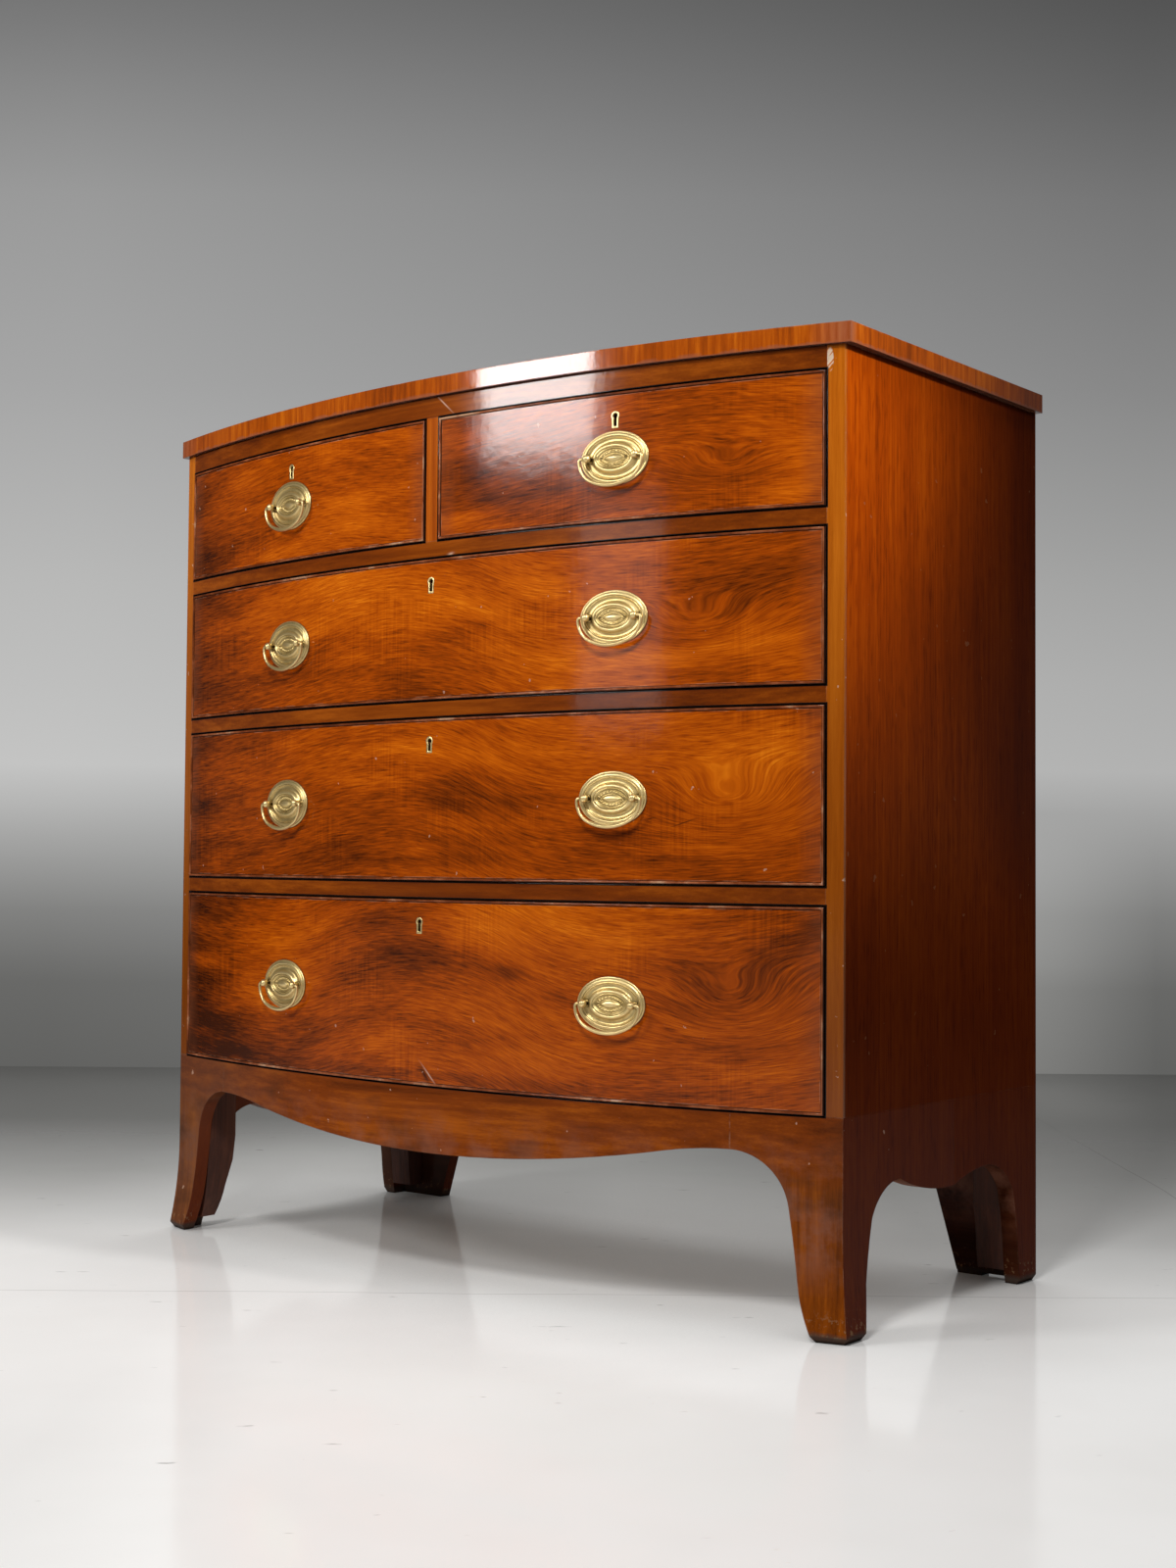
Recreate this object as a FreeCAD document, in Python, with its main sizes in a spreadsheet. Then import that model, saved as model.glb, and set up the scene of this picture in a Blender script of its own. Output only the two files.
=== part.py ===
"""Bow front chest of drawers: a mahogany case with two short and three long drawers.

+Z is up, the bowed front faces -Y and the viewer's right is +X. The origin is on the floor at
the middle of the top's width and depth, and every length is in millimetres. The case, rails,
drawer fronts and top all follow circles about one upright line, the bow axis, far behind the
case. A size is a cell of the sheet, and every formula below is written in the cells' names.
"""
import FreeCAD, Part
import math
import os
import re
import Sketcher

SIZES = {
    # Plan: the top, the case under it and the bow that both share.
    "case_width": 1022, "top_depth": 503, "top_thick": 21.5, "top_overhang": 6, "side_overhang": 9,
    "bow_radius": 1850,
    # Case.
    "side_thick": 18.5, "stile_thick": 3, "back_thick": 9, "back_rebate": 7, "board_gap": 0.5,
    "back_board_count": 5, "top_rail_height": 24, "rail_thick": 19.2, "rail_depth": 32,
    "muntin_width": 20, "muntin_depth": 60, "bottom_thick": 18, "runner_width": 32,
    "guide_height": 16, "dust_thick": 8, "stop_height": 5, "stop_depth": 14, "stop_length": 40,
    # Heights of the drawer openings.
    "short_opening": 143, "upper_opening": 164.5, "middle_opening": 188, "lower_opening": 214.5,
    # Drawers.
    "side_gap": 1, "top_gap": 1.2, "bottom_gap": 0.8, "drawer_lift": 0.3, "stop_gap": 0.3,
    "front_thick": 22, "lining_thick": 9, "lining_drop": 3, "back_drop": 10, "rear_clear": 8,
    "panel_thick": 6.5, "panel_rise": 8, "groove_depth": 4, "tail_pitch": 60, "tail_half": 17,
    "tail_flare": 2.4, "tail_lap": 10.5, "shoulder_set": 0.5, "pin_half": 4, "pin_flare": 1.4,
    "bead_width": 3.2, "bead_depth": 9, "bead_proud": 1.8,
    # Plinth: apron, splayed front feet, straight rear feet.
    "base_height": 227, "plinth_thick": 20, "foot_splay": 8.8, "splay_start": 115,
    "sole_bevel": 5, "sole_rise": 7, "apron_low": 152, "apron_radius": 1740,
    "apron_bend_width": 191, "crown_width": 119, "crown_radius": 64, "crown_height": 188,
    "ease_radius": 400, "knee_width": 56, "knee_height": 134, "ankle_width": 45, "ankle_height": 58,
    "sole_width": 25, "ankle_radius": 160,
    "front_sole_width": 38, "front_ankle_width": 41, "front_knee_width": 57,
    "side_ankle_height": 55, "side_knee_height": 119, "side_crown_width": 113.5,
    "side_crown_height": 153.5, "side_crown_radius": 62, "drop_from_back": 195,
    "drop_height": 133.3, "drop_radius": 260, "rear_crown_from_back": 121.5,
    "rear_crown_height": 147, "rear_crown_radius": 75, "rear_knee_width": 58,
    "rear_knee_height": 112, "rear_ankle_width": 44.5, "rear_ankle_height": 40,
    "rear_sole_width": 38, "rear_ankle_radius": 300, "bracket_thick": 18,
    "bracket_top": 136, "bracket_sole": 73, "pad_thick": 3.5, "pad_length": 32,
    "block_width": 34, "block_clear": 15,
    # Handles: an oval plate, two ball-headed posts and a bail.
    "handle_x": 254, "handle_drop": 2, "plate_width": 84, "plate_height": 59.5, "plate_corners": 20,
    "rim_share": 0.93, "rim_rise": 2.6, "dish_share": 0.8, "dish_rise": 1,
    "crown_share": 0.57, "crown_rise": 5.2,
    "post_half": 30, "post_sides": 6, "post_radius": 2.4, "post_reach": 10.5, "ball_radius": 4.4,
    "nut_radius": 6.5, "nut_thick": 4, "nut_stand": 0.4, "post_end": 2,
    "bail_half": 39, "bail_drop": 30.5, "bail_sides": 6, "bail_radius": 1.9, "bail_swell": 2.3,
    "bail_step": 0.8, "bail_bend": 3, "bail_side_radius": 24, "pin_depth": 3.2, "pin_clearance": 0.05,
    # Locks.
    "key_drop": 30, "lower_key_shift": 13, "key_bore": 2.8, "key_slot": 1.7, "key_up": 5.5,
    "key_down": 8.3, "key_facets": 6, "thread_wide": 2.7, "thread_deep": 2.5, "thread_proud": 0.1,
    "lock_width": 60, "lock_height": 46, "lock_deep": 9.5, "lock_proud": 0.8, "lock_recess": 3,
    "bolt_width": 24, "bolt_thick": 4, "bolt_height": 20, "bolt_set": 0.2, "bolt_play": 0.3,
    "bolt_throw": 6, "mortise_clear": 1,
}

# Heights of each opening's floor, from the plinth up.
FLOORS = {
    "lower": "base_height",
    "middle": "(base_height + lower_opening + rail_thick)",
    "upper": "(base_height + lower_opening + middle_opening + 2 * rail_thick)",
    "short": "(base_height + lower_opening + middle_opening + upper_opening + 3 * rail_thick)",
}
TOP_RAIL_FLOOR = f"({FLOORS['short']} + short_opening)"
CASE_TOP = f"({TOP_RAIL_FLOOR} + top_rail_height)"

CASE_HALF = "(case_width / 2)"
OPEN_HALF = "(case_width / 2 - side_thick)"
PLINTH_HALF = "(case_width / 2 - plinth_thick)"
BACK = "(top_depth / 2)"
BACK_INNER = "(top_depth / 2 - back_thick)"
DRAWER_BACK = "(top_depth / 2 - back_thick - rear_clear)"
BOW_AXIS = "(bow_radius + top_overhang - top_depth / 2)"
TOP_HALF = "(case_width / 2 + side_overhang)"
CROWN_X = f"({CASE_HALF} - crown_width)"
BEND_X = f"({CASE_HALF} - apron_bend_width)"
SKIRT_END = f"({BACK} - drop_from_back)"    # where the front foot's side meets the rear foot
BEYOND = "case_width"                       # far enough to pass right through the case

doc = FreeCAD.newDocument("bow_front_chest")
sheet = doc.addObject("Spreadsheet::Sheet", "dims")
NODES = []


def fill_sheet():
    for row, (alias, value) in enumerate(SIZES.items(), 1):
        sheet.set(f"A{row}", str(value))
        sheet.setAlias(f"A{row}", alias)
    doc.recompute()


def bound(formula):
    """Point each size named in a formula at its cell."""
    return re.sub(r"[a-z_]+", lambda word: f"dims.{word[0]}" if word[0] in SIZES else word[0], formula)


def number(formula):
    value = ruler.evalExpression(bound(formula))
    return float(getattr(value, "Value", value))


def bind(piece, **formulas):
    """Bind properties to formulas; a double underscore stands for a dot."""
    for name, formula in formulas.items():
        piece.setExpression(name.replace("__", "."), bound(formula))
    return piece


def move(piece, x="0", y="0", z="0"):
    return bind(piece, Placement__Base__x=x, Placement__Base__y=y, Placement__Base__z=z)


def bow_y(x, radius="bow_radius"):
    """The front-to-back place of the bow of this radius at this distance from the middle."""
    return f"({BOW_AXIS} - sqrt(({radius})^2 - ({x})^2))"


RAIL_BACK = f"({bow_y(OPEN_HALF)} + rail_depth)"


# Sketches and the solids drawn from them.

def arc_between(start, end, radius, side):
    """The short arc from start to end whose centre is on this side of the way it runs."""
    chord = end - start
    rise = math.sqrt(max(radius ** 2 - (chord.Length / 2) ** 2, 0))
    to_left = FreeCAD.Vector(-chord.y, chord.x, 0).normalize()
    centre = (start + end) * 0.5 + to_left * (rise if side == "left" else -rise)
    first, last = (start, end) if side == "left" else (end, start)
    angles = [math.atan2(point.y - centre.y, point.x - centre.x) for point in (first, last)]
    if angles[1] < angles[0]:
        angles[1] += 2 * math.pi
    return Part.ArcOfCircle(Part.Circle(centre, FreeCAD.Vector(0, 0, 1), radius), *angles)


def draw(sketch, corners, closed=True):
    """Draw lines and arcs through corners and bind every corner and radius.

    A corner is (x, y), or (x, y, radius, side) where the edge that leaves it is an arc.
    """
    points = [FreeCAD.Vector(number(corner[0]), number(corner[1]), 0) for corner in corners]
    count = len(corners) if closed else len(corners) - 1
    ends, rules, formulas = [], [], []
    for index in range(count):
        here, there = points[index], points[(index + 1) % len(points)]
        arc = corners[index][2:]
        edge = arc_between(here, there, number(arc[0]), arc[1]) if arc else Part.LineSegment(here, there)
        piece = sketch.addGeometry(edge, False)
        turned = bool(arc) and arc[1] == "right"
        ends.append((piece, 2, 1) if turned else (piece, 1, 2))
        if arc:
            rules.append(Sketcher.Constraint("Radius", piece, number(arc[0])))
            formulas.append(arc[0])
    pins = [(ends[index][0], ends[index][1]) for index in range(count)]
    if not closed:
        pins.append((ends[-1][0], ends[-1][2]))
    for (piece, end), corner, point in zip(pins, corners, points):
        rules.append(Sketcher.Constraint("DistanceX", -1, 1, piece, end, point.x))
        rules.append(Sketcher.Constraint("DistanceY", -1, 1, piece, end, point.y))
        formulas.extend(corner[:2])
    first_rule = sketch.ConstraintCount
    joints = range(count if closed else count - 1)
    for index in joints:
        piece, _, end = ends[index]
        after, start, _ = ends[(index + 1) % count]
        rules.append(Sketcher.Constraint("Coincident", piece, end, after, start))
    sketch.addConstraint(rules)
    for offset, formula in enumerate(formulas):
        sketch.setExpression(f"Constraints[{first_rule + offset}]", bound(formula))


def mirrored(corners):
    """The same outline on the other side of the middle."""
    return [(f"-({corners[index][0]})", corners[index][1], *corners[index - 1][2:])
            for index in reversed(range(len(corners)))]


def body_sketch(body, name, role, offset):
    sketch = body.newObject("Sketcher::SketchObject", name)
    plane = next(item for item in body.Origin.OriginFeatures if item.Role == role)
    sketch.AttachmentSupport = [(plane, "")]
    sketch.MapMode = "FlatFace"
    return bind(sketch, AttachmentOffset__Base__z=offset)


def slab(name, role, corners, low, high):
    """A body padded between two distances along the normal of one of its planes."""
    body = doc.addObject("PartDesign::Body", name)
    offset = f"-({high})" if role == "XZ_Plane" else low
    sketch = body_sketch(body, f"{name}_outline", role, offset)
    draw(sketch, corners)
    pad = body.newObject("PartDesign::Pad", f"{name}_pad")
    pad.Profile = sketch
    bind(pad, Length=f"({high}) - ({low})")
    return body


def pocket(body, name, role, corners, low, high):
    """Cut an outline out of a body between two distances along the plane's normal."""
    offset = f"-({low})" if role == "XZ_Plane" else high
    sketch = body_sketch(body, f"{name}_outline", role, offset)
    draw(sketch, corners)
    cut = body.newObject("PartDesign::Pocket", name)
    cut.Profile = sketch
    bind(cut, Length=f"({high}) - ({low})")
    return body


def box(name, x, y, z):
    """A block between pairs of distances along X, Y and Z."""
    block = doc.addObject("Part::Box", name)
    bind(block, Length=f"({x[1]}) - ({x[0]})", Width=f"({y[1]}) - ({y[0]})",
         Height=f"({z[1]}) - ({z[0]})")
    return move(block, x[0], y[0], z[0])


def loft(name, sections):
    """Flat faces from each section to the next."""
    solid = doc.addObject("Part::Loft", name)
    solid.Sections = sections
    solid.Solid = solid.Ruled = solid.Linearize = True
    return solid


def ring_loft(name, sides, rings):
    """A ruled loft through many-sided rings, each (radius, x, y, z, turn).

    A ring faces -Y, or with a turn it faces along the XZ plane at that angle from +Z.
    """
    wires = []
    for index, (radius, x, y, z, turn) in enumerate(rings):
        ring = doc.addObject("Part::RegularPolygon", f"{name}_ring_{index}")
        ring.Polygon = round(number(sides))
        if turn is None:
            ring.Placement.Rotation = FreeCAD.Rotation(FreeCAD.Vector(1, 0, 0), 90)
        else:
            round_y = FreeCAD.Rotation(FreeCAD.Vector(0, 1, 0), 1)
            ring.Placement = FreeCAD.Placement(FreeCAD.Vector(), round_y)
            bind(ring, Placement__Rotation__Angle=turn)
        bind(ring, Circumradius=radius)
        wires.append(move(ring, x, y, z))
    return loft(name, wires)


def prism(name, sides, radius, height, axis):
    """A many-sided rod from the origin along an axis."""
    rod = doc.addObject("Part::Prism", name)
    rod.Polygon = sides
    rod.Placement.Rotation = FreeCAD.Rotation(FreeCAD.Vector(0, 0, 1), FreeCAD.Vector(*axis))
    return bind(rod, Circumradius=radius, Height=height)


def carve(name, blank, *tools):
    """Take each tool out of a blank in turn."""
    for index, tool in enumerate(tools, 1):
        cut = doc.addObject("Part::Cut", name if index == len(tools) else f"{name}_step_{index}")
        cut.Base, cut.Tool = blank, tool
        blank = cut
    return blank


def common(name, first, second):
    both = doc.addObject("Part::MultiCommon", name)
    both.Shapes = [first, second]
    return both


def join(name, *pieces):
    fused = doc.addObject("Part::MultiFuse", name)
    fused.Shapes = list(pieces)
    return fused


def group(name, *pieces):
    """Separate solids held as one object."""
    held = doc.addObject("Part::Compound", name)
    held.Links = list(pieces)
    return held


def node(piece):
    NODES.append(piece)
    return piece


def on_bow(name, x, z, *pieces):
    """Pieces drawn at the origin, facing -Y, set on the front of the case at x and z."""
    held = move(group(name, *pieces), x, bow_y(x), z)
    return bind(held, Placement__Rotation__Angle=f"asin(({x}) / bow_radius)")


def bow_board(name, left, right, low, high, radius="bow_radius", back=BACK):
    """A level board with a bowed front and a straight back."""
    corners = [(left, bow_y(left, radius), radius, "left"), (right, bow_y(right, radius)),
               (right, back), (left, back)]
    return slab(name, "XY_Plane", corners, low, high)


def bow_band(name, left, right, low, high, outer="bow_radius", inner="bow_radius"):
    """A curved board of even thickness between two radii of the bow."""
    corners = [(left, bow_y(left, outer), outer, "left"), (right, bow_y(right, outer)),
               (right, bow_y(right, inner), inner, "right"), (left, bow_y(left, inner))]
    return slab(name, "XY_Plane", corners, low, high)


# Case.

def make_top():
    node(bow_board("top_board", f"-{TOP_HALF}", TOP_HALF, CASE_TOP, f"{CASE_TOP} + top_thick",
                   radius="bow_radius + top_overhang"))


def make_sides():
    """Side boards, rebated at the back, with a facing strip down each front edge."""
    edge = "bow_radius - stile_thick"
    right = [(OPEN_HALF, bow_y(OPEN_HALF, edge), edge, "left"), (CASE_HALF, bow_y(CASE_HALF, edge)),
             (CASE_HALF, BACK), (f"{OPEN_HALF} + back_rebate", BACK),
             (f"{OPEN_HALF} + back_rebate", BACK_INNER), (OPEN_HALF, BACK_INNER)]
    node(slab("side_right", "XY_Plane", right, "base_height", CASE_TOP))
    node(slab("side_left", "XY_Plane", mirrored(right), "base_height", CASE_TOP))
    strips = [bow_band(f"stile_{side}", *span, "base_height", CASE_TOP, inner=edge)
              for side, span in (("right", (OPEN_HALF, CASE_HALF)),
                                 ("left", (f"-{CASE_HALF}", f"-{OPEN_HALF}")))]
    node(group("corner_stiles", *strips))


def make_back():
    width = f"(2 * ({OPEN_HALF} + back_rebate) / back_board_count)"
    boards = []
    for index in range(round(number("back_board_count"))):
        left = f"({index} * {width} - {OPEN_HALF} - back_rebate)"
        boards.append(box(f"back_board_{index + 1}", (left, f"{left} + {width} - board_gap"),
                          (BACK_INNER, BACK), ("base_height", CASE_TOP)))
    node(group("back_boards", *boards))


def make_rails(mortises):
    """Rails with a bowed front; each is mortised for the bolt of the drawer below it."""
    blank = bow_board("top_rail_blank", f"-{OPEN_HALF}", OPEN_HALF, TOP_RAIL_FLOOR, CASE_TOP,
                      back=RAIL_BACK)
    node(carve("top_rail", blank, mortises["left"], mortises["right"]))
    rails = []
    for level, below in (("short", "upper"), ("upper", "middle"), ("middle", "lower")):
        blank = bow_board(f"rail_{level}_blank", f"-{OPEN_HALF}", OPEN_HALF,
                          f"{FLOORS[level]} - rail_thick", FLOORS[level], back=RAIL_BACK)
        rails.append(carve(f"rail_{level}", blank, mortises[below]))
    node(group("drawer_rails", *rails))
    half = "muntin_width / 2"
    node(bow_board("muntin", f"-{half}", half, FLOORS["short"], TOP_RAIL_FLOOR,
                   back=f"{bow_y('0')} + muntin_depth"))


def make_runners():
    """Runners behind each rail, dust boards between them and a guide between the short drawers."""
    depth = (RAIL_BACK, BACK_INNER)
    inner = f"({OPEN_HALF} - runner_width)"
    runners, panels = [], []
    for level in ("short", "upper", "middle"):
        tall = (f"{FLOORS[level]} - rail_thick", FLOORS[level])
        runners.append(box(f"runner_{level}_right", (inner, OPEN_HALF), depth, tall))
        runners.append(box(f"runner_{level}_left", (f"-{OPEN_HALF}", f"-{inner}"), depth, tall))
        low = f"({FLOORS[level]} - (rail_thick + dust_thick) / 2)"
        thin = (low, f"{low} + dust_thick")
        if level == "short":
            runners.append(box("runner_centre", ("-runner_width", "runner_width"), depth, tall))
            panels.append(box("dust_short_right", ("runner_width", inner), depth, thin))
            panels.append(box("dust_short_left", (f"-{inner}", "-runner_width"), depth, thin))
        else:
            panels.append(box(f"dust_{level}", (f"-{inner}", inner), depth, thin))
    half = "muntin_width / 2"
    runners.append(box("centre_guide", (f"-{half}", half), (f"{bow_y('0')} + muntin_depth", BACK_INNER),
                       (FLOORS["short"], f"{FLOORS['short']} + guide_height")))
    node(group("drawer_runners", *runners))
    node(group("dust_boards", *panels))


def make_stops(drawers):
    """Two blocks under each drawer's bottom, which its front meets when it is shut."""
    outer = "bow_radius - front_thick - stop_gap"
    stops = []
    for drawer in drawers:
        for end, share in (("a", 0.2), ("b", 0.8)):
            middle = f"(({drawer['left']}) * {1 - share} + ({drawer['right']}) * {share})"
            stops.append(bow_band(f"stop_{drawer['name']}_{end}", f"{middle} - stop_length / 2",
                                  f"{middle} + stop_length / 2", drawer["floor"],
                                  f"{drawer['floor']} + stop_height", outer=outer,
                                  inner=f"{outer} - stop_depth"))
    node(group("drawer_stops", *stops))


# Plinth.

def splay_radius():
    """The arc that starts upright at splay_start and stands foot_splay out at the sole's edge."""
    return "(((splay_start - sole_rise)^2 + foot_splay^2) / (2 * foot_splay))"


def splayed_edge(distance, bevel):
    """The outer edge of a foot in section, from the plinth's top down to the floor."""
    out = f"({distance} + foot_splay)"
    return [(distance, "base_height"), (distance, "splay_start", splay_radius(), "left"),
            (out, "sole_rise"), (f"{out} - {bevel}", "0")]


def turned_block(name, distance, bevel):
    """Everything inside the bow at this radius, with the splay of the front feet."""
    outline = [(f"-({x})", z, *arc) for x, z, *arc in splayed_edge(distance, bevel)]
    outline[1] = (*outline[1][:2], splay_radius(), "right")
    body = doc.addObject("PartDesign::Body", name)
    sketch = body_sketch(body, f"{name}_outline", "YZ_Plane", "0")
    bind(sketch, AttachmentOffset__Base__x=BOW_AXIS)
    draw(sketch, [("0", "base_height"), *outline, ("0", "0")])
    turn = body.newObject("PartDesign::Revolution", f"{name}_turn")
    turn.Profile = sketch
    turn.ReferenceAxis = (sketch, ["V_Axis"])
    turn.Midplane = True
    bind(turn, Angle=f"2 * atan((case_width / 2 + 4 * foot_splay) / ({BOW_AXIS} - {SKIRT_END}))")
    return body


def straight_block(name, distance, bevel):
    """Everything between the two sides at this distance, with the same splay."""
    right = splayed_edge(distance, bevel)
    left = [(f"-({x})", z) for x, z, *_ in reversed(right)]
    left[1] = (*left[1], splay_radius(), "left")
    return slab(name, "XZ_Plane", [*right, *left], f"-{BEYOND}", SKIRT_END)


def front_arch():
    """The space under the apron: half its outline, from the floor by the foot up to the bend."""
    bend = f"(apron_low + apron_radius - sqrt(apron_radius^2 - {BEND_X}^2))"
    sole = f"{CASE_HALF} - sole_width"
    half = [(sole, "-sole_rise"), (sole, "0", "ankle_radius", "right"),
            (f"{CASE_HALF} - ankle_width", "ankle_height"),
            (f"{CASE_HALF} - knee_width", "knee_height", "crown_radius", "left"),
            (CROWN_X, "crown_height", "ease_radius", "left"), (BEND_X, bend)]
    other = [(f"-({x})", z) for x, z, *_ in reversed(half)]
    other[0] = (*other[0], "ease_radius", "left")
    other[1] = (*other[1], "crown_radius", "left")
    other[3] = (*other[3], "ankle_radius", "right")
    half[-1] = (*half[-1], "apron_radius", "right")
    return slab("front_arch", "XZ_Plane", [*half, *other], f"-{BEYOND}", "0")


def side_arch():
    """The space between the feet under each side: two arches with a drop between them."""
    corner = bow_y(CASE_HALF)
    corners = [
        (f"{corner} - foot_splay + front_sole_width", "-sole_rise"),
        (f"{BACK} - rear_sole_width", "-sole_rise"),
        (f"{BACK} - rear_sole_width", "0", "rear_ankle_radius", "right"),
        (f"{BACK} - rear_ankle_width", "rear_ankle_height", "rear_ankle_radius", "left"),
        (f"{BACK} - rear_knee_width", "rear_knee_height", "rear_crown_radius", "left"),
        (f"{BACK} - rear_crown_from_back", "rear_crown_height", "drop_radius", "left"),
        (SKIRT_END, "drop_height", "drop_radius", "right"),
        (f"{corner} + side_crown_width", "side_crown_height", "side_crown_radius", "left"),
        (f"{corner} + front_knee_width", "side_knee_height"),
        (f"{corner} + front_ankle_width", "side_ankle_height", "rear_ankle_radius", "right"),
        (f"{corner} - foot_splay + front_sole_width", "0"),
    ]
    return slab("side_arch", "YZ_Plane", corners, f"-{BEYOND}", BEYOND)


def make_plinth():
    """The apron and front feet are cut from one skirt; the rear feet are plain brackets."""
    inner = "bow_radius - plinth_thick"
    skirt = common("skirt", turned_block("skirt_front", "bow_radius", "sole_bevel"),
                   straight_block("skirt_sides", CASE_HALF, "sole_bevel"))
    hollow = common("skirt_hollow", turned_block("hollow_front", inner, "0"),
                    straight_block("hollow_sides", PLINTH_HALF, "0"))
    arches = side_arch()
    front = front_arch()
    skirt = carve("cut_skirt", skirt, hollow, front, arches)
    tall = ("-sole_rise", "base_height + sole_rise")
    spans = {"apron": (f"-{CROWN_X}", CROWN_X), "foot_front_right": (CROWN_X, BEYOND),
             "foot_front_left": (f"-{BEYOND}", f"-{CROWN_X}")}
    for name, span in spans.items():
        node(common(name, skirt, box(f"{name}_part", span, (f"-{BEYOND}", SKIRT_END), tall)))
    make_rear_feet(arches)
    make_blocks(front, arches)
    node(bow_board("bottom_board", f"-{PLINTH_HALF}", PLINTH_HALF, "base_height - bottom_thick",
                   "base_height", radius=inner))


def make_rear_feet(arches):
    """A side bracket cut with the side's arch and a sloped back bracket at each rear corner."""
    under = "base_height - bottom_thick"
    leg = [(PLINTH_HALF, "0"), (f"{CASE_HALF} - sole_bevel", "0"), (CASE_HALF, "sole_rise"),
           (CASE_HALF, "base_height"), (PLINTH_HALF, "base_height")]
    pieces = []
    for side, outline in (("right", leg), ("left", mirrored(leg))):
        blank = slab(f"rear_leg_{side}_blank", "XZ_Plane", outline, SKIRT_END, BACK)
        pieces.append(carve(f"rear_leg_{side}", blank, arches))
    slope = f"((bracket_top - bracket_sole) / ({under}))"
    right = [(f"{PLINTH_HALF} - bracket_sole - pad_thick * {slope}", "pad_thick"),
             (PLINTH_HALF, "pad_thick"), (PLINTH_HALF, under), (f"{PLINTH_HALF} - bracket_top", under)]
    left = mirrored([(f"{PLINTH_HALF} - bracket_sole", "0"), (PLINTH_HALF, "0"),
                     (PLINTH_HALF, under), (f"{PLINTH_HALF} - bracket_top", under)])
    depth = (f"{BACK} - bracket_thick", BACK)
    pieces.append(slab("back_bracket_right", "XZ_Plane", right, *depth))
    pieces.append(slab("back_bracket_left", "XZ_Plane", left, *depth))
    start = f"{PLINTH_HALF} - bracket_sole"
    pieces.append(box("packing_pad", (start, f"{start} + pad_length"), depth, ("0", "pad_thick")))
    node(group("rear_feet", *pieces))


def make_blocks(*arches):
    """Glue blocks in the corners behind the feet, shaped with them by the arches."""
    tall = ("block_clear", "base_height - bottom_thick")
    inner = "bow_radius - plinth_thick"
    start = f"({PLINTH_HALF} - block_width)"
    behind = f"{bow_y(PLINTH_HALF, inner)} + block_width"
    rear = (f"{BACK} - bracket_thick - block_width", f"{BACK} - bracket_thick")
    blocks = []
    for side, span in (("right", (start, PLINTH_HALF)), ("left", (f"-{PLINTH_HALF}", f"-{start}"))):
        blank = bow_board(f"block_front_{side}_blank", *span, *tall, radius=inner, back=behind)
        blocks.append(carve(f"block_front_{side}", blank, *arches))
        blank = box(f"block_rear_{side}_blank", span, rear, tall)
        blocks.append(carve(f"block_rear_{side}", blank, *arches))
    node(group("foot_blocks", *blocks))


# Brass: drawn once at the origin, facing -Y, and set on the drawers by on_bow.

def make_plate():
    """An oval plate pressed with a rim, a dish and a raised medallion, each a share of its size."""
    count = round(number("plate_corners"))
    ovals = []
    for share, rise in (("1", "0"), ("rim_share", "rim_rise"), ("dish_share", "dish_rise"),
                        ("crown_share", "crown_rise")):
        oval = doc.addObject("Sketcher::SketchObject", f"plate_ring_{len(ovals)}")
        oval.Placement.Rotation = FreeCAD.Rotation(FreeCAD.Vector(1, 0, 0), 90)
        angles = [f"({index} * 360 / plate_corners)" for index in range(count)]
        draw(oval, [(f"{share} * plate_width / 2 * cos{angle}", f"{share} * plate_height / 2 * sin{angle}")
                    for angle in angles])
        ovals.append(move(oval, y=f"-{rise}"))
    return loft("plate_blank", ovals)


def make_post(side, sign):
    """A post through the drawer front: a bored ball outside, and a nut on its end inside."""
    at = f"{sign}post_half"
    wide, narrow = "ball_radius * cos(22.5)", "ball_radius * sin(22.5)"
    profile = [(narrow, f"-(post_reach + {wide})"), (wide, f"-(post_reach + {narrow})"),
               (wide, f"{narrow} - post_reach"), ("post_radius", f"{wide} - post_reach"),
               ("post_radius", "front_thick + nut_stand + nut_thick + post_end")]
    rings = [(radius, at, y, "0", None) for radius, y in profile]
    blank = ring_loft(f"post_{side}_blank", "post_sides", rings)
    outward = (1 if sign == "" else -1, 0, 0)
    bore_radius = "(bail_radius + pin_clearance) / cos(22.5)"
    bore = prism(f"bore_{side}", 8, bore_radius, "ball_radius + pin_depth", outward)
    move(bore, f"{sign}(post_half + ball_radius - pin_depth)", "-post_reach")
    post = carve(f"post_{side}", blank, bore)
    nut = prism(f"nut_{side}_blank", 6, "nut_radius", "nut_thick", (0, 1, 0))
    move(nut, at, "front_thick + nut_stand")
    return blank, post, carve(f"nut_{side}", nut, blank)


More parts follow.
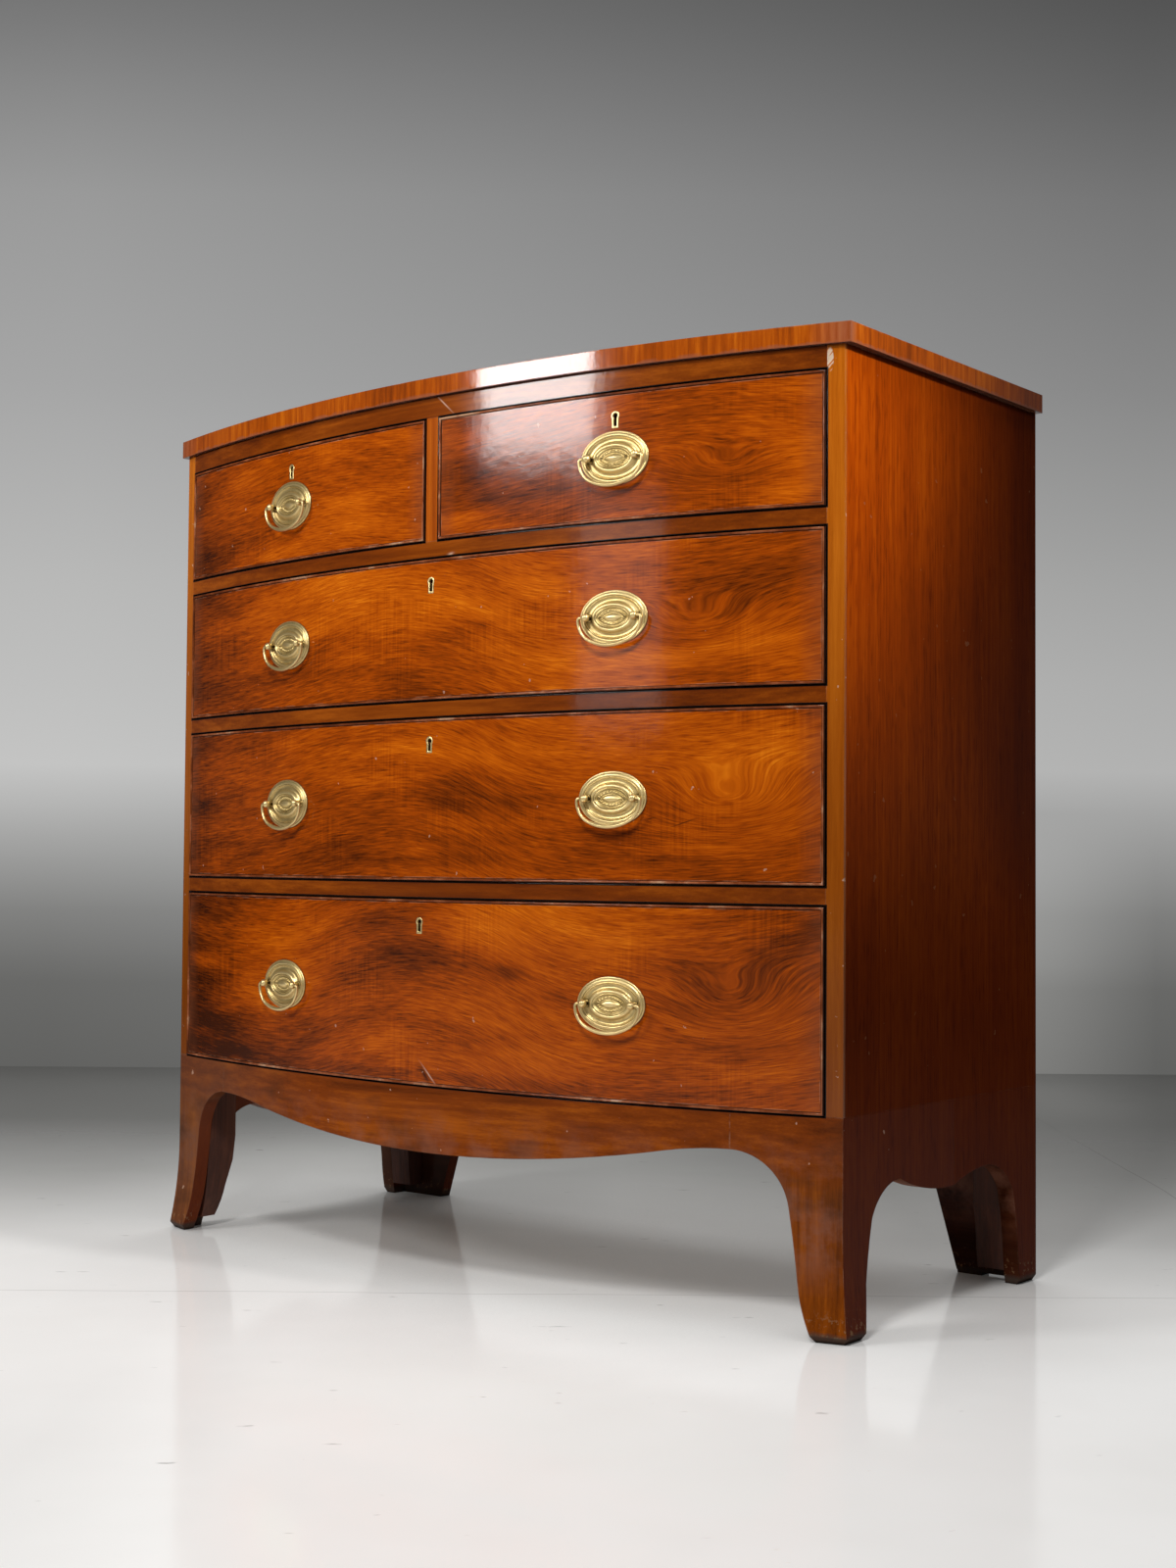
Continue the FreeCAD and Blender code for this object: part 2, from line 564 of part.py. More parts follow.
def make_bail():
    """A half-oval drop handle, stepped thicker at the bottom, whose ends turn in to pivot in the balls.

    Rings stand square to its line at angles counted from straight down: round the bottom arc,
    round the side arc, round the bend at the top, and at the tip of the pin.
    """
    flank = "(bail_half - bail_side_radius)"
    drop = "(bail_drop - bail_bend)"
    low = f"(({flank}^2 + {drop}^2 - bail_side_radius^2) / (2 * ({drop} - bail_side_radius)))"
    meet = f"atan({flank} / ({low} - {drop}))"
    bottom = (low, "0", f"{low} - bail_drop")
    side = ("bail_side_radius", flank, "-bail_bend")
    bend = ("bail_bend", "(bail_half - bail_bend)", "-bail_bend")
    stations = [("bail_swell", "0 deg", *bottom, "0"), ("bail_swell", f"{meet} / 2", *bottom, "0"),
                ("bail_radius", f"{meet} / 2", *bottom, "bail_step"), ("bail_radius", meet, *bottom, "0"),
                ("bail_radius", f"({meet} + 90 deg) / 2", *side, "0"),
                ("bail_radius", "90 deg", *side, "0"), ("bail_radius", "135 deg", *bend, "0"),
                ("bail_radius", "180 deg", *bend, "0")]
    rings = []
    for thick, angle, radius, x, z, along in stations:
        rings.append((thick, f"{x} + {radius} * sin({angle}) + {along} * cos({angle})", "-post_reach",
                      f"{z} - {radius} * cos({angle}) + {along} * sin({angle})", f"90 deg - ({angle})"))
    tip = "post_half + ball_radius - pin_depth + pin_clearance"
    rings.append(("bail_radius", tip, "-post_reach", "0", "-90 deg"))
    half = ring_loft("bail_right", "bail_sides", rings)
    other = doc.addObject("Part::Mirroring", "bail_left")
    other.Source, other.Normal = half, FreeCAD.Vector(1, 0, 0)
    return join("bail", half, other)


def keyhole(name, grow, low, high):
    """A keyhole in the front's plane, larger all round by grow: a faceted bore over a slot."""
    bore, slot = f"(key_bore + {grow})", f"(key_slot + {grow})"
    middle = "(key_up - key_bore)"
    join_z = f"({middle} - sqrt({bore}^2 - {slot}^2))"
    angles = [f"({index} * 180 / key_facets)" for index in range(round(number("key_facets")) + 1)]
    round_top = [(f"{bore} * cos{angle}", f"{middle} + {bore} * sin{angle}") for angle in angles]
    foot = f"-(key_down + {grow})"
    corners = [(slot, foot), (slot, join_z), *round_top, (f"-{slot}", join_z), (f"-{slot}", foot)]
    return slab(name, "XZ_Plane", corners, low, high)


def make_lock():
    """A lock let into the back of a drawer front, its bolt, and the brass thread round the key."""
    top = "(key_drop - top_gap)"
    front = "(front_thick - lock_deep)"
    middle = "(front_thick - lock_deep / 2)"
    key = keyhole("key_space", "0", "-front_thick", f"{front} + lock_recess")
    thread_blank = keyhole("thread_blank", "thread_wide", "-thread_proud", "thread_deep")
    case = box("lock_blank", ("-lock_width / 2", "lock_width / 2"),
               (front, "front_thick + lock_proud"), (f"{top} - lock_height", top))
    slot = box("bolt_slot", ("-bolt_width / 2 - bolt_play", "bolt_width / 2 + bolt_play"),
               (f"{middle} - bolt_thick / 2 - bolt_play", f"{middle} + bolt_thick / 2 + bolt_play"),
               (f"{top} - bolt_set - bolt_height - bolt_play", f"{top} + bolt_set"))
    return {
        "cutter": join("key_cutter", thread_blank, key),
        "blank": case,
        "case": carve("lock_case", case, slot, key),
        "thread": carve("key_thread", thread_blank, key),
        "bolt": box("bolt", ("-bolt_width / 2", "bolt_width / 2"),
                    (f"{middle} - bolt_thick / 2", f"{middle} + bolt_thick / 2"),
                    (f"{top} - bolt_set - bolt_height", f"{top} - bolt_set")),
        "mortise": box("bolt_mortise",
                       ("-bolt_width / 2 - mortise_clear", "bolt_width / 2 + mortise_clear"),
                       (f"{middle} - bolt_thick / 2 - mortise_clear",
                        f"{middle} + bolt_thick / 2 + mortise_clear"),
                       (top, f"{top} + bolt_throw + mortise_clear")),
    }


# Drawers.

def drawer_list():
    """What tells the drawers apart: the opening, the handles and the key."""
    muntin = "(muntin_width / 2)"
    drawers = [
        {"name": "left", "level": "short", "left": f"-{OPEN_HALF}", "right": f"-{muntin}",
         "handles": {"": "-handle_x"}, "key": "-handle_x"},
        {"name": "right", "level": "short", "left": muntin, "right": OPEN_HALF,
         "handles": {"": "handle_x"}, "key": "handle_x"},
    ]
    for name, key in (("upper", "0"), ("middle", "0"), ("lower", "-lower_key_shift")):
        drawers.append({"name": name, "level": name, "left": f"-{OPEN_HALF}", "right": OPEN_HALF,
                        "handles": {"_left": "-handle_x", "_right": "handle_x"}, "key": key})
    for drawer in drawers:
        drawer["floor"] = FLOORS[drawer["level"]]
        drawer["height"] = f"{drawer['level']}_opening"
        drawer["key_z"] = f"({drawer['floor']} + {drawer['height']} - key_drop)"
    return drawers


def lining(drawer, side, outer, inner):
    """A drawer side with lapped tails for the front, sockets for the back and a bottom groove."""
    name = f"{drawer['name']}_lining_{side}"
    low = f"({drawer['floor']} + drawer_lift)"
    high = f"({drawer['floor']} + {drawer['height']} - lining_drop)"
    shoulder = bow_y(inner, "bow_radius - front_thick + shoulder_set")
    nose = f"({bow_y(outer)} + tail_lap)"
    count = max(2, round(number(drawer["height"]) / number("tail_pitch")))
    panel = f"({low} + panel_rise + panel_thick)"
    step = f"(({high} - {low}) / {count})"
    back_step = f"(({high} - back_drop - {panel}) / {count})"
    bottom = f"{DRAWER_BACK} - lining_thick"
    tails, sockets = [], []
    for index in reversed(range(count)):
        at = f"({low} + {index + 0.5} * {step})"
        tails += [(shoulder, f"{at} + tail_half"), (nose, f"{at} + tail_half + tail_flare"),
                  (nose, f"{at} - tail_half - tail_flare"), (shoulder, f"{at} - tail_half")]
    for index in range(count):
        at = f"({panel} + {index + 0.5} * {back_step})"
        sockets += [(DRAWER_BACK, f"{at} - pin_half"), (bottom, f"{at} - pin_half - pin_flare"),
                    (bottom, f"{at} + pin_half + pin_flare"), (DRAWER_BACK, f"{at} + pin_half")]
    outline = [(shoulder, low), (DRAWER_BACK, low), *sockets, (DRAWER_BACK, high),
               (shoulder, high), *tails]
    span = (inner, outer) if side == "right" else (outer, inner)
    body = slab(name, "YZ_Plane", outline, *span)
    start, end = f"{shoulder} - tail_lap", f"{DRAWER_BACK} + groove_depth"
    under = f"{low} + panel_rise"
    groove = [(start, under), (end, under), (end, panel), (start, panel)]
    cut = (inner, f"{inner} + groove_depth") if side == "right" else (f"{inner} - groove_depth", inner)
    return pocket(body, f"{name}_groove", "YZ_Plane", groove, *cut)


def make_box(drawer, left, right):
    """The two linings and the back that their tails hold."""
    name = drawer["name"]
    linings = [lining(drawer, "left", left, f"({left} + lining_thick)"),
               lining(drawer, "right", right, f"({right} - lining_thick)")]
    low = f"({drawer['floor']} + drawer_lift + panel_rise + panel_thick)"
    high = f"({drawer['floor']} + {drawer['height']} - lining_drop - back_drop)"
    blank = box(f"{name}_back_blank", (left, right), (f"{DRAWER_BACK} - lining_thick", DRAWER_BACK),
                (low, high))
    back = carve(f"{name}_back", blank, *linings)
    return node(group(f"{name}_drawer_box", *linings, back))


def make_bottom(drawer, left, right):
    """A thin board in the grooves of the linings and the front."""
    low = f"({drawer['floor']} + drawer_lift + panel_rise)"
    side = "lining_thick - groove_depth"
    return node(bow_board(f"{drawer['name']}_drawer_bottom", f"({left} + {side})", f"({right} - ({side}))",
                          low, f"{low} + panel_thick", back=DRAWER_BACK,
                          radius="bow_radius - front_thick + groove_depth"))


def make_cockbead(drawer, left, right, low, high):
    """Four strips let into the edges of the front, standing a little proud of it."""
    name = drawer["name"]
    strips = {"bottom": (left, right, low, f"({low} + bead_width)"),
              "top": (left, right, f"({high} - bead_width)", high),
              "left": (left, f"({left} + bead_width)", f"{low} + bead_width", f"{high} - bead_width"),
              "right": (f"({right} - bead_width)", right, f"{low} + bead_width", f"{high} - bead_width")}
    pieces = [bow_band(f"{name}_bead_{edge}", *span, outer="bow_radius + bead_proud",
                       inner="bow_radius - bead_depth") for edge, span in strips.items()]
    return node(group(f"{name}_drawer_cockbead", *pieces))


def make_drawer(drawer, brass, lock):
    """One drawer with its front, cockbead, linings, bottom, handles and lock."""
    name = drawer["name"]
    left, right = f"({drawer['left']} + side_gap)", f"({drawer['right']} - side_gap)"
    low = f"({drawer['floor']} + bottom_gap)"
    high = f"({drawer['floor']} + {drawer['height']} - top_gap)"
    bead = make_cockbead(drawer, left, right, low, high)
    linings = make_box(drawer, left, right)
    bottom = make_bottom(drawer, left, right)
    middle = f"({drawer['floor']} + {drawer['height']} / 2 - handle_drop)"
    fittings, posts = [], []
    for side, at in drawer["handles"].items():
        fittings.append(on_bow(f"{name}_handle{side}", at, middle, *brass["fixed"]))
        posts.append(on_bow(f"{name}_post_holes{side}", at, middle, *brass["posts"]))
        node(on_bow(f"{name}_drawer_bail{side}", at, middle, brass["bail"]))
    at_key = (drawer["key"], drawer["key_z"])
    node(group(f"{name}_drawer_fittings", *fittings, on_bow(f"{name}_key_thread", *at_key, lock["thread"])))
    node(on_bow(f"{name}_drawer_lock", *at_key, lock["case"]))
    node(on_bow(f"{name}_drawer_bolt", *at_key, lock["bolt"]))
    blank = bow_band(f"{name}_front_blank", left, right, low, high, inner="bow_radius - front_thick")
    node(carve(f"{name}_drawer_front", blank, bead, linings, bottom, *posts,
               on_bow(f"{name}_lock_space", *at_key, lock["blank"]),
               on_bow(f"{name}_key_cut", *at_key, lock["cutter"])))
    return on_bow(f"{name}_bolt_mortise", *at_key, lock["mortise"])


def make_brass():
    posts = [make_post("right", ""), make_post("left", "-")]
    blanks = [blank for blank, _, _ in posts]
    plate = carve("plate", make_plate(), *blanks)
    fixed = [plate, *(piece for _, *pieces in posts for piece in pieces)]
    return {"fixed": fixed, "posts": blanks, "bail": make_bail()}


def check_and_write():
    """Stop on any failed feature or shape, then write each node's file."""
    doc.recompute()
    for item in doc.Objects:
        if {"Invalid", "Error"} & set(item.State):
            raise RuntimeError(f"{item.Name} failed: {item.State}")
        if item.TypeId == "PartDesign::Pocket" and item.Shape.Volume >= item.BaseFeature.Shape.Volume:
            raise RuntimeError(f"{item.Name} cuts nothing")
    os.makedirs("parts", exist_ok=True)
    for piece in NODES:
        shape = piece.Shape
        if shape.isNull() or not shape.isValid() or not shape.Solids:
            raise RuntimeError(f"{piece.Label} has no valid solid")
        shape.exportStep(f"parts/{piece.Label}.step")
        print(f"{piece.Label}: {len(shape.Solids)} solids, {shape.Volume / 1000:.1f} cm3")
    print(f"{len(NODES)} nodes")


fill_sheet()
ruler = doc.addObject("App::FeaturePython", "ruler")
make_top()
make_sides()
make_back()
make_runners()
all_drawers = drawer_list()
make_stops(all_drawers)
make_plinth()
handle_parts = make_brass()
lock_parts = make_lock()
bolt_mortises = {drawer["name"]: make_drawer(drawer, handle_parts, lock_parts) for drawer in all_drawers}
make_rails(bolt_mortises)
check_and_write()
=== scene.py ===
import math

import bmesh
import bpy
from mathutils import Matrix, Vector


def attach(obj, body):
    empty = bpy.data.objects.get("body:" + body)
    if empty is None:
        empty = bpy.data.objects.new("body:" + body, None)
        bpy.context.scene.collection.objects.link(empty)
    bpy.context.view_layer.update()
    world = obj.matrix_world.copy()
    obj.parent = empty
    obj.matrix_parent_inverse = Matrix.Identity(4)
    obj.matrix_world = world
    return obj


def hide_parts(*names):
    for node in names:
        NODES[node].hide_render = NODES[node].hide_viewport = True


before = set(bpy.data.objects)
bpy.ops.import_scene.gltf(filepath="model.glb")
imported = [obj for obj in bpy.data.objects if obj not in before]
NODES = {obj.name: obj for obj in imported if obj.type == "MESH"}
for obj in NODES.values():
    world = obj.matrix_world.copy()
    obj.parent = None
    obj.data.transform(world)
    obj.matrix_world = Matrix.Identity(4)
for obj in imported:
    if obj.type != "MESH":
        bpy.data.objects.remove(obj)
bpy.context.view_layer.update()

# Places and sizes that the CAD source sets, in metres.
BOW_RADIUS = 1.850
BOW_AXIS_Y = 1.6045
TOP_HALF = 0.520
TOP_OVERHANG = 0.006
BAND_WIDTH = 0.026
BEAD_WIDTH = 0.0032
HANDLE_X = 0.254
LONG_SPAN = (-0.4915, 0.4915)
# name: (left, right, low, high, handle places across, handle height, keyhole place across, keyhole height)
DRAWERS = {
    "left": (-0.4915, -0.011, 0.8524, 0.9934, (-HANDLE_X,), 0.9211, -HANDLE_X, 0.9646),
    "right": (0.011, 0.4915, 0.8524, 0.9934, (HANDLE_X,), 0.9211, HANDLE_X, 0.9646),
    "upper": (*LONG_SPAN, 0.6687, 0.8312, (-HANDLE_X, HANDLE_X), 0.74815, 0, 0.8024),
    "middle": (*LONG_SPAN, 0.4615, 0.6475, (-HANDLE_X, HANDLE_X), 0.5527, 0, 0.6187),
    "lower": (*LONG_SPAN, 0.2278, 0.4403, (-HANDLE_X, HANDLE_X), 0.33225, -0.013, 0.4115),
}

MM = 0.001
# In millimetres: how far the bails stand out in front, and how far a post stands beside the plate's middle.
BAIL_REACH = 10.5
POST_ASIDE = 30
# Steps round a ring of the plate, and beads round its middle.
PLATE_STEPS = 144
PLATE_BEADS = 24
# The longest step along a cockbead, in metres.
BEAD_STEP = 0.012
CREASE = math.radians(45)


# Shapes.

def on_bow(x, z):
    """The frame that stands on the bowed face: X along it, -Y straight out of it, Z up."""
    y = BOW_AXIS_Y - math.sqrt(BOW_RADIUS ** 2 - x ** 2)
    return Matrix.Translation((x, y, z)) @ Matrix.Rotation(math.asin(x / BOW_RADIUS), 4, "Z")


def put_in_scene(name, data):
    thing = bpy.data.objects.new(name, data)
    bpy.context.scene.collection.objects.link(thing)
    return thing


class Shape:
    """A mesh made of skins over rings of points, which becomes one piece."""

    def __init__(self):
        self.points = []
        self.faces = []

    def skin(self, rings, place=Matrix.Identity(4), closed=False):
        """Join each ring to the next; closed joins the last to the first, else both ends get a cap."""
        first = len(self.points)
        count = len(rings[0])
        for ring in rings:
            self.points += [place @ Vector(point) for point in ring]
        for index in range(len(rings) - (0 if closed else 1)):
            low = first + index * count
            high = first + (index + 1) % len(rings) * count
            for step in range(count):
                after = (step + 1) % count
                self.faces.append((low + step, low + after, high + after, high + step))
        if not closed:
            for start in (first, len(self.points) - count):
                self.faces.append(tuple(range(start, start + count)))

    def piece(self, name, paint, body, slot, *replaced):
        mesh = bpy.data.meshes.new(name)
        mesh.from_pydata(self.points, [], self.faces)
        work = bmesh.new()
        work.from_mesh(mesh)
        bmesh.ops.recalc_face_normals(work, faces=work.faces)
        work.to_mesh(mesh)
        work.free()
        mesh.shade_smooth()
        mesh.set_sharp_from_angle(angle=CREASE)
        mesh.materials.append(paint)
        piece = put_in_scene(name, mesh)
        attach(piece, body)
        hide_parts(*replaced)


def circle(radius, x, y, count):
    """A circle in millimetres round the line that runs front to back."""
    angles = [2 * math.pi * step / count for step in range(count)]
    return [Vector((x + radius * math.cos(a), y, radius * math.sin(a))) * MM for a in angles]


def oval(half_width, half_height, rise, point=0.0, beads=0.0):
    """An oval ring of the plate; point draws its ends out, and beads swell it in small steps."""
    ring = []
    for step in range(PLATE_STEPS):
        angle = 2 * math.pi * step / PLATE_STEPS
        up = math.sin(angle)
        up = up * abs(up) ** point
        swell = beads * abs(math.sin(PLATE_BEADS * angle / 2))
        ring.append(Vector((half_width * math.cos(angle), -rise - swell, half_height * up)) * MM)
    return ring


# The plate from its edge to its middle: half width, half height, rise, how pointed, beads.
PLATE = (
    (41.9, 29.6, -0.7), (42.0, 29.75, 0.3), (41.8, 29.55, 1.0), (41.2, 28.95, 1.55), (40.3, 28.1, 1.75),
    (39.7, 27.5, 1.45), (39.4, 27.2, 1.5), (38.8, 26.6, 2.2), (37.9, 25.8, 2.65), (36.8, 24.8, 2.7),
    (36.0, 24.1, 2.35), (35.7, 23.8, 2.0), (35.4, 23.5, 2.1), (34.8, 23.0, 2.35), (34.2, 22.5, 2.1),
    (33.7, 22.1, 1.3), (32.8, 21.4, 0.85), (31.2, 20.2, 0.65), (29.4, 18.8, 0.7), (28.0, 17.6, 1.05),
    (27.0, 16.7, 1.8), (26.3, 16.1, 2.9), (25.6, 15.5, 4.0), (24.8, 14.8, 4.75), (23.7, 13.9, 5.1),
    (22.6, 12.9, 5.0), (21.9, 12.3, 4.5), (21.6, 12.0, 4.1), (21.3, 11.7, 4.15), (20.8, 11.2, 4.45, 0.1),
    (20.3, 10.7, 4.2, 0.2), (19.8, 10.2, 3.3, 0.3), (19.2, 9.7, 2.9, 0.4), (18.2, 8.9, 2.8, 0.45),
    (17.4, 8.2, 2.9, 0.5, 0.5), (16.4, 7.4, 3.2, 0.55, 0.95), (15.2, 6.6, 3.1, 0.6, 0.8),
    (14.2, 5.8, 2.8, 0.65, 0.25), (13.4, 5.2, 2.7, 0.7), (12.4, 4.5, 2.9, 0.75), (11.2, 3.6, 3.7, 0.8),
    (9.6, 2.6, 4.4, 0.8), (7.4, 1.6, 4.8, 0.8), (4.2, 0.7, 5.0, 0.6), (1.0, 0.2, 5.05, 0.2),
)
# A post from the plate outward: radius, reach.
POST = (
    (3.9, 0.5), (4.0, 1.2), (3.6, 1.8), (2.7, 2.2), (2.4, 3.0), (2.3, 5.2), (2.6, 6.1), (3.0, 6.4),
    (3.1, 6.8), (3.4, 7.3), (4.0, 8.2), (4.35, 9.4), (4.4, 10.5), (4.2, 11.8), (3.7, 12.9), (2.9, 13.9),
    (1.9, 14.55), (0.9, 14.85), (0.2, 14.9),
)
# A post's end behind the drawer front, and its nut: radius, depth.
SHANK = ((2.4, 21.9), (2.4, 27.6), (2.0, 28.2), (0.3, 28.3))
NUT = ((5.5, 22.3), (6.3, 22.6), (6.4, 23.2), (6.4, 25.6), (6.2, 26.1), (5.4, 26.4), (2.4, 26.4))


def add_handle(shape, x, z):
    """The fixed brass of one handle: its plate, its two posts, and a nut on each inside the front."""
    place = on_bow(x, z)
    shape.skin([oval(*ring) for ring in PLATE], place)
    for side in (-POST_ASIDE, POST_ASIDE):
        for profile, way, count in ((POST, -1, 24), (SHANK, 1, 16), (NUT, 1, 6)):
            shape.skin([circle(radius, side, way * reach, count) for radius, reach in profile], place)


def keyhole(grow, reach):
    """The outline of a keyhole in millimetres, larger all round by grow, at this reach in front."""
    bore, slot, middle = 2.8 + grow, 1.7 + grow, 2.7
    low = -(8.3 + grow)
    turn = math.asin(slot / bore)
    corner = min(0.8, slot / 2)
    points = [(slot - corner, low), (slot - corner * 0.3, low + corner * 0.3), (slot, low + corner),
              (slot * 0.97, low / 2)]
    for step in range(17):
        angle = math.pi - turn - (2 * math.pi - 2 * turn) * step / 16
        points.append((bore * math.sin(angle), middle + bore * math.cos(angle)))
    points += [(-slot * 0.97, low / 2), (-slot, low + corner), (-slot + corner * 0.3, low + corner * 0.3),
               (corner - slot, low)]
    return [Vector((x, -reach, z)) * MM for x, z in points]


def add_thread(shape, x, z):
    """The brass thread let in round a keyhole."""
    rings = ((0.05, -2.4), (0.05, -0.2), (0.35, 0.15), (0.9, 0.3), (1.8, 0.3), (2.4, 0.15), (2.68, -0.2),
             (2.68, -2.4))
    shape.skin([keyhole(grow, reach) for grow, reach in rings], on_bow(x, z), closed=True)


def bail_line():
    """Points and turns along a bail from its right pin round to its left one, in millimetres."""
    wide = 57.893
    meet = math.atan(15 / (wide - 27.5))
    # Its right half: a wide arc along the bottom, one up the end, and a small one in to the pin.
    # Each is the middle across and up, the radius, the first and last turn, and the steps.
    arcs = [(0, wide - 30.5, wide, 0, meet, 14), (15, -3, 24, meet, math.pi / 2, 16),
            (36, -3, 3, math.pi / 2, math.pi, 8)]
    half = []
    for x, z, radius, first, last, steps in arcs:
        for step in range(steps):
            angle = first + (last - first) * step / steps
            half.append((x + radius * math.sin(angle), z - radius * math.cos(angle), angle))
    half += [(36, 0, math.pi), (33.5, 0, math.pi), (31.3, 0, math.pi)]
    return half[::-1] + [(-x, z, -angle) for x, z, angle in half[1:]]


def add_bail(shape, place):
    """A drop handle: round at its ends, thicker and fluted lengthwise across the bottom."""
    front = Vector((0, -1, 0))
    rings = []
    for x, z, angle in bail_line():
        middle = max(0.0, 1 - (x / 27) ** 2) if z < -10 else 0.0
        collar = 0.35 * math.exp(-((abs(x) - 28) / 1.1) ** 2) if z < -10 else 0.0
        base = 1.65 + 0.6 * middle ** 0.7 + collar
        out = Vector((math.sin(angle), 0, -math.cos(angle)))
        ring = []
        for step in range(28):
            turn = 2 * math.pi * step / 28
            radius = base + 0.13 * min(1.0, middle * 2) * math.cos(7 * turn)
            away = radius * (math.cos(turn) * out + math.sin(turn) * front)
            ring.append((Vector((x, -BAIL_REACH, z)) + away) * MM)
        rings.append(ring)
    shape.skin(rings, place)


def add_cockbead(shape, left, right, low, high):
    """A half-round bead, mitred at its corners, let in round the edge of a bowed front."""
    # Each station: its place on the outer edge, and the way inward from it.
    corners = ((left, low, 1, 1), (right, low, -1, 1), (right, high, -1, -1), (left, high, 1, -1))
    stations = []
    for index, corner in enumerate(corners):
        x, z, in_x, in_z = corner
        to_x, to_z, next_in_x, next_in_z = corners[(index + 1) % 4]
        steps = max(2, round((abs(to_x - x) + abs(to_z - z)) / BEAD_STEP))
        stations.append(corner)
        stations += [(x + (to_x - x) * step / steps, z + (to_z - z) * step / steps,
                      (in_x + next_in_x) // 2, (in_z + next_in_z) // 2) for step in range(1, steps)]
    profile = [(0.02, -7.1), (0.02, 0.1)]
    profile += [(1.6 - 1.58 * math.cos(math.pi * step / 8), 0.25 + 1.55 * math.sin(math.pi * step / 8))
                for step in range(1, 8)]
    profile += [(3.18, 0.1), (3.18, -7.1)]
    rings = []
    for x, z, in_x, in_z in stations:
        ring = []
        for inward, proud in profile:
            spot = on_bow(x + inward * in_x * MM, z + inward * in_z * MM)
            ring.append(spot @ Vector((0, -proud * MM, 0)))
        rings.append(ring)
    shape.skin(rings, closed=True)


# Materials.

class Tree:
    """A node tree built step by step; each step gives back the socket that it makes."""

    def __init__(self, owner):
        owner.use_nodes = True
        self.nodes = owner.node_tree.nodes
        self.links = owner.node_tree.links

    def node(self, kind, inputs=None, **settings):
        node = self.nodes.new(kind)
        for key, value in settings.items():
            setattr(node, key, value)
        for key, value in (inputs or {}).items():
            self.feed(node.inputs[key], value)
        return node

    def feed(self, socket, value):
        if isinstance(value, bpy.types.NodeSocket):
            self.links.new(value, socket)
        elif isinstance(value, tuple) and len(value) == 3 and socket.type == "RGBA":
            socket.default_value = (*value, 1)
        else:
            socket.default_value = value

    def calc(self, operation, *values):
        return self.node("ShaderNodeMath", dict(enumerate(values)), operation=operation).outputs[0]

    def times(self, first, second):
        return self.calc("MULTIPLY", first, second)

    def times_plus(self, first, second, more):
        return self.calc("MULTIPLY_ADD", first, second, more)

    def less(self, first, second):
        return self.calc("SUBTRACT", first, second)

    def most(self, first, second):
        return self.calc("MAXIMUM", first, second)

    def least(self, first, second):
        return self.calc("MINIMUM", first, second)

    def size(self, value):
        return self.calc("ABSOLUTE", value)

    def dot(self, first, second):
        node = self.node("ShaderNodeVectorMath", {0: first, 1: second}, operation="DOT_PRODUCT")
        return node.outputs["Value"]

    def remap(self, value, low, high, start=0.0, end=1.0):
        inputs = {"Value": value, "From Min": low, "From Max": high, "To Min": start, "To Max": end}
        return self.node("ShaderNodeMapRange", inputs).outputs[0]

    def seen_ray(self):
        """1 for a ray that shows the room to the camera, directly or in metal and glass."""
        rays = self.node("ShaderNodeLightPath").outputs
        return self.most(rays["Is Camera Ray"], self.most(rays["Is Glossy Ray"], rays["Is Transmission Ray"]))


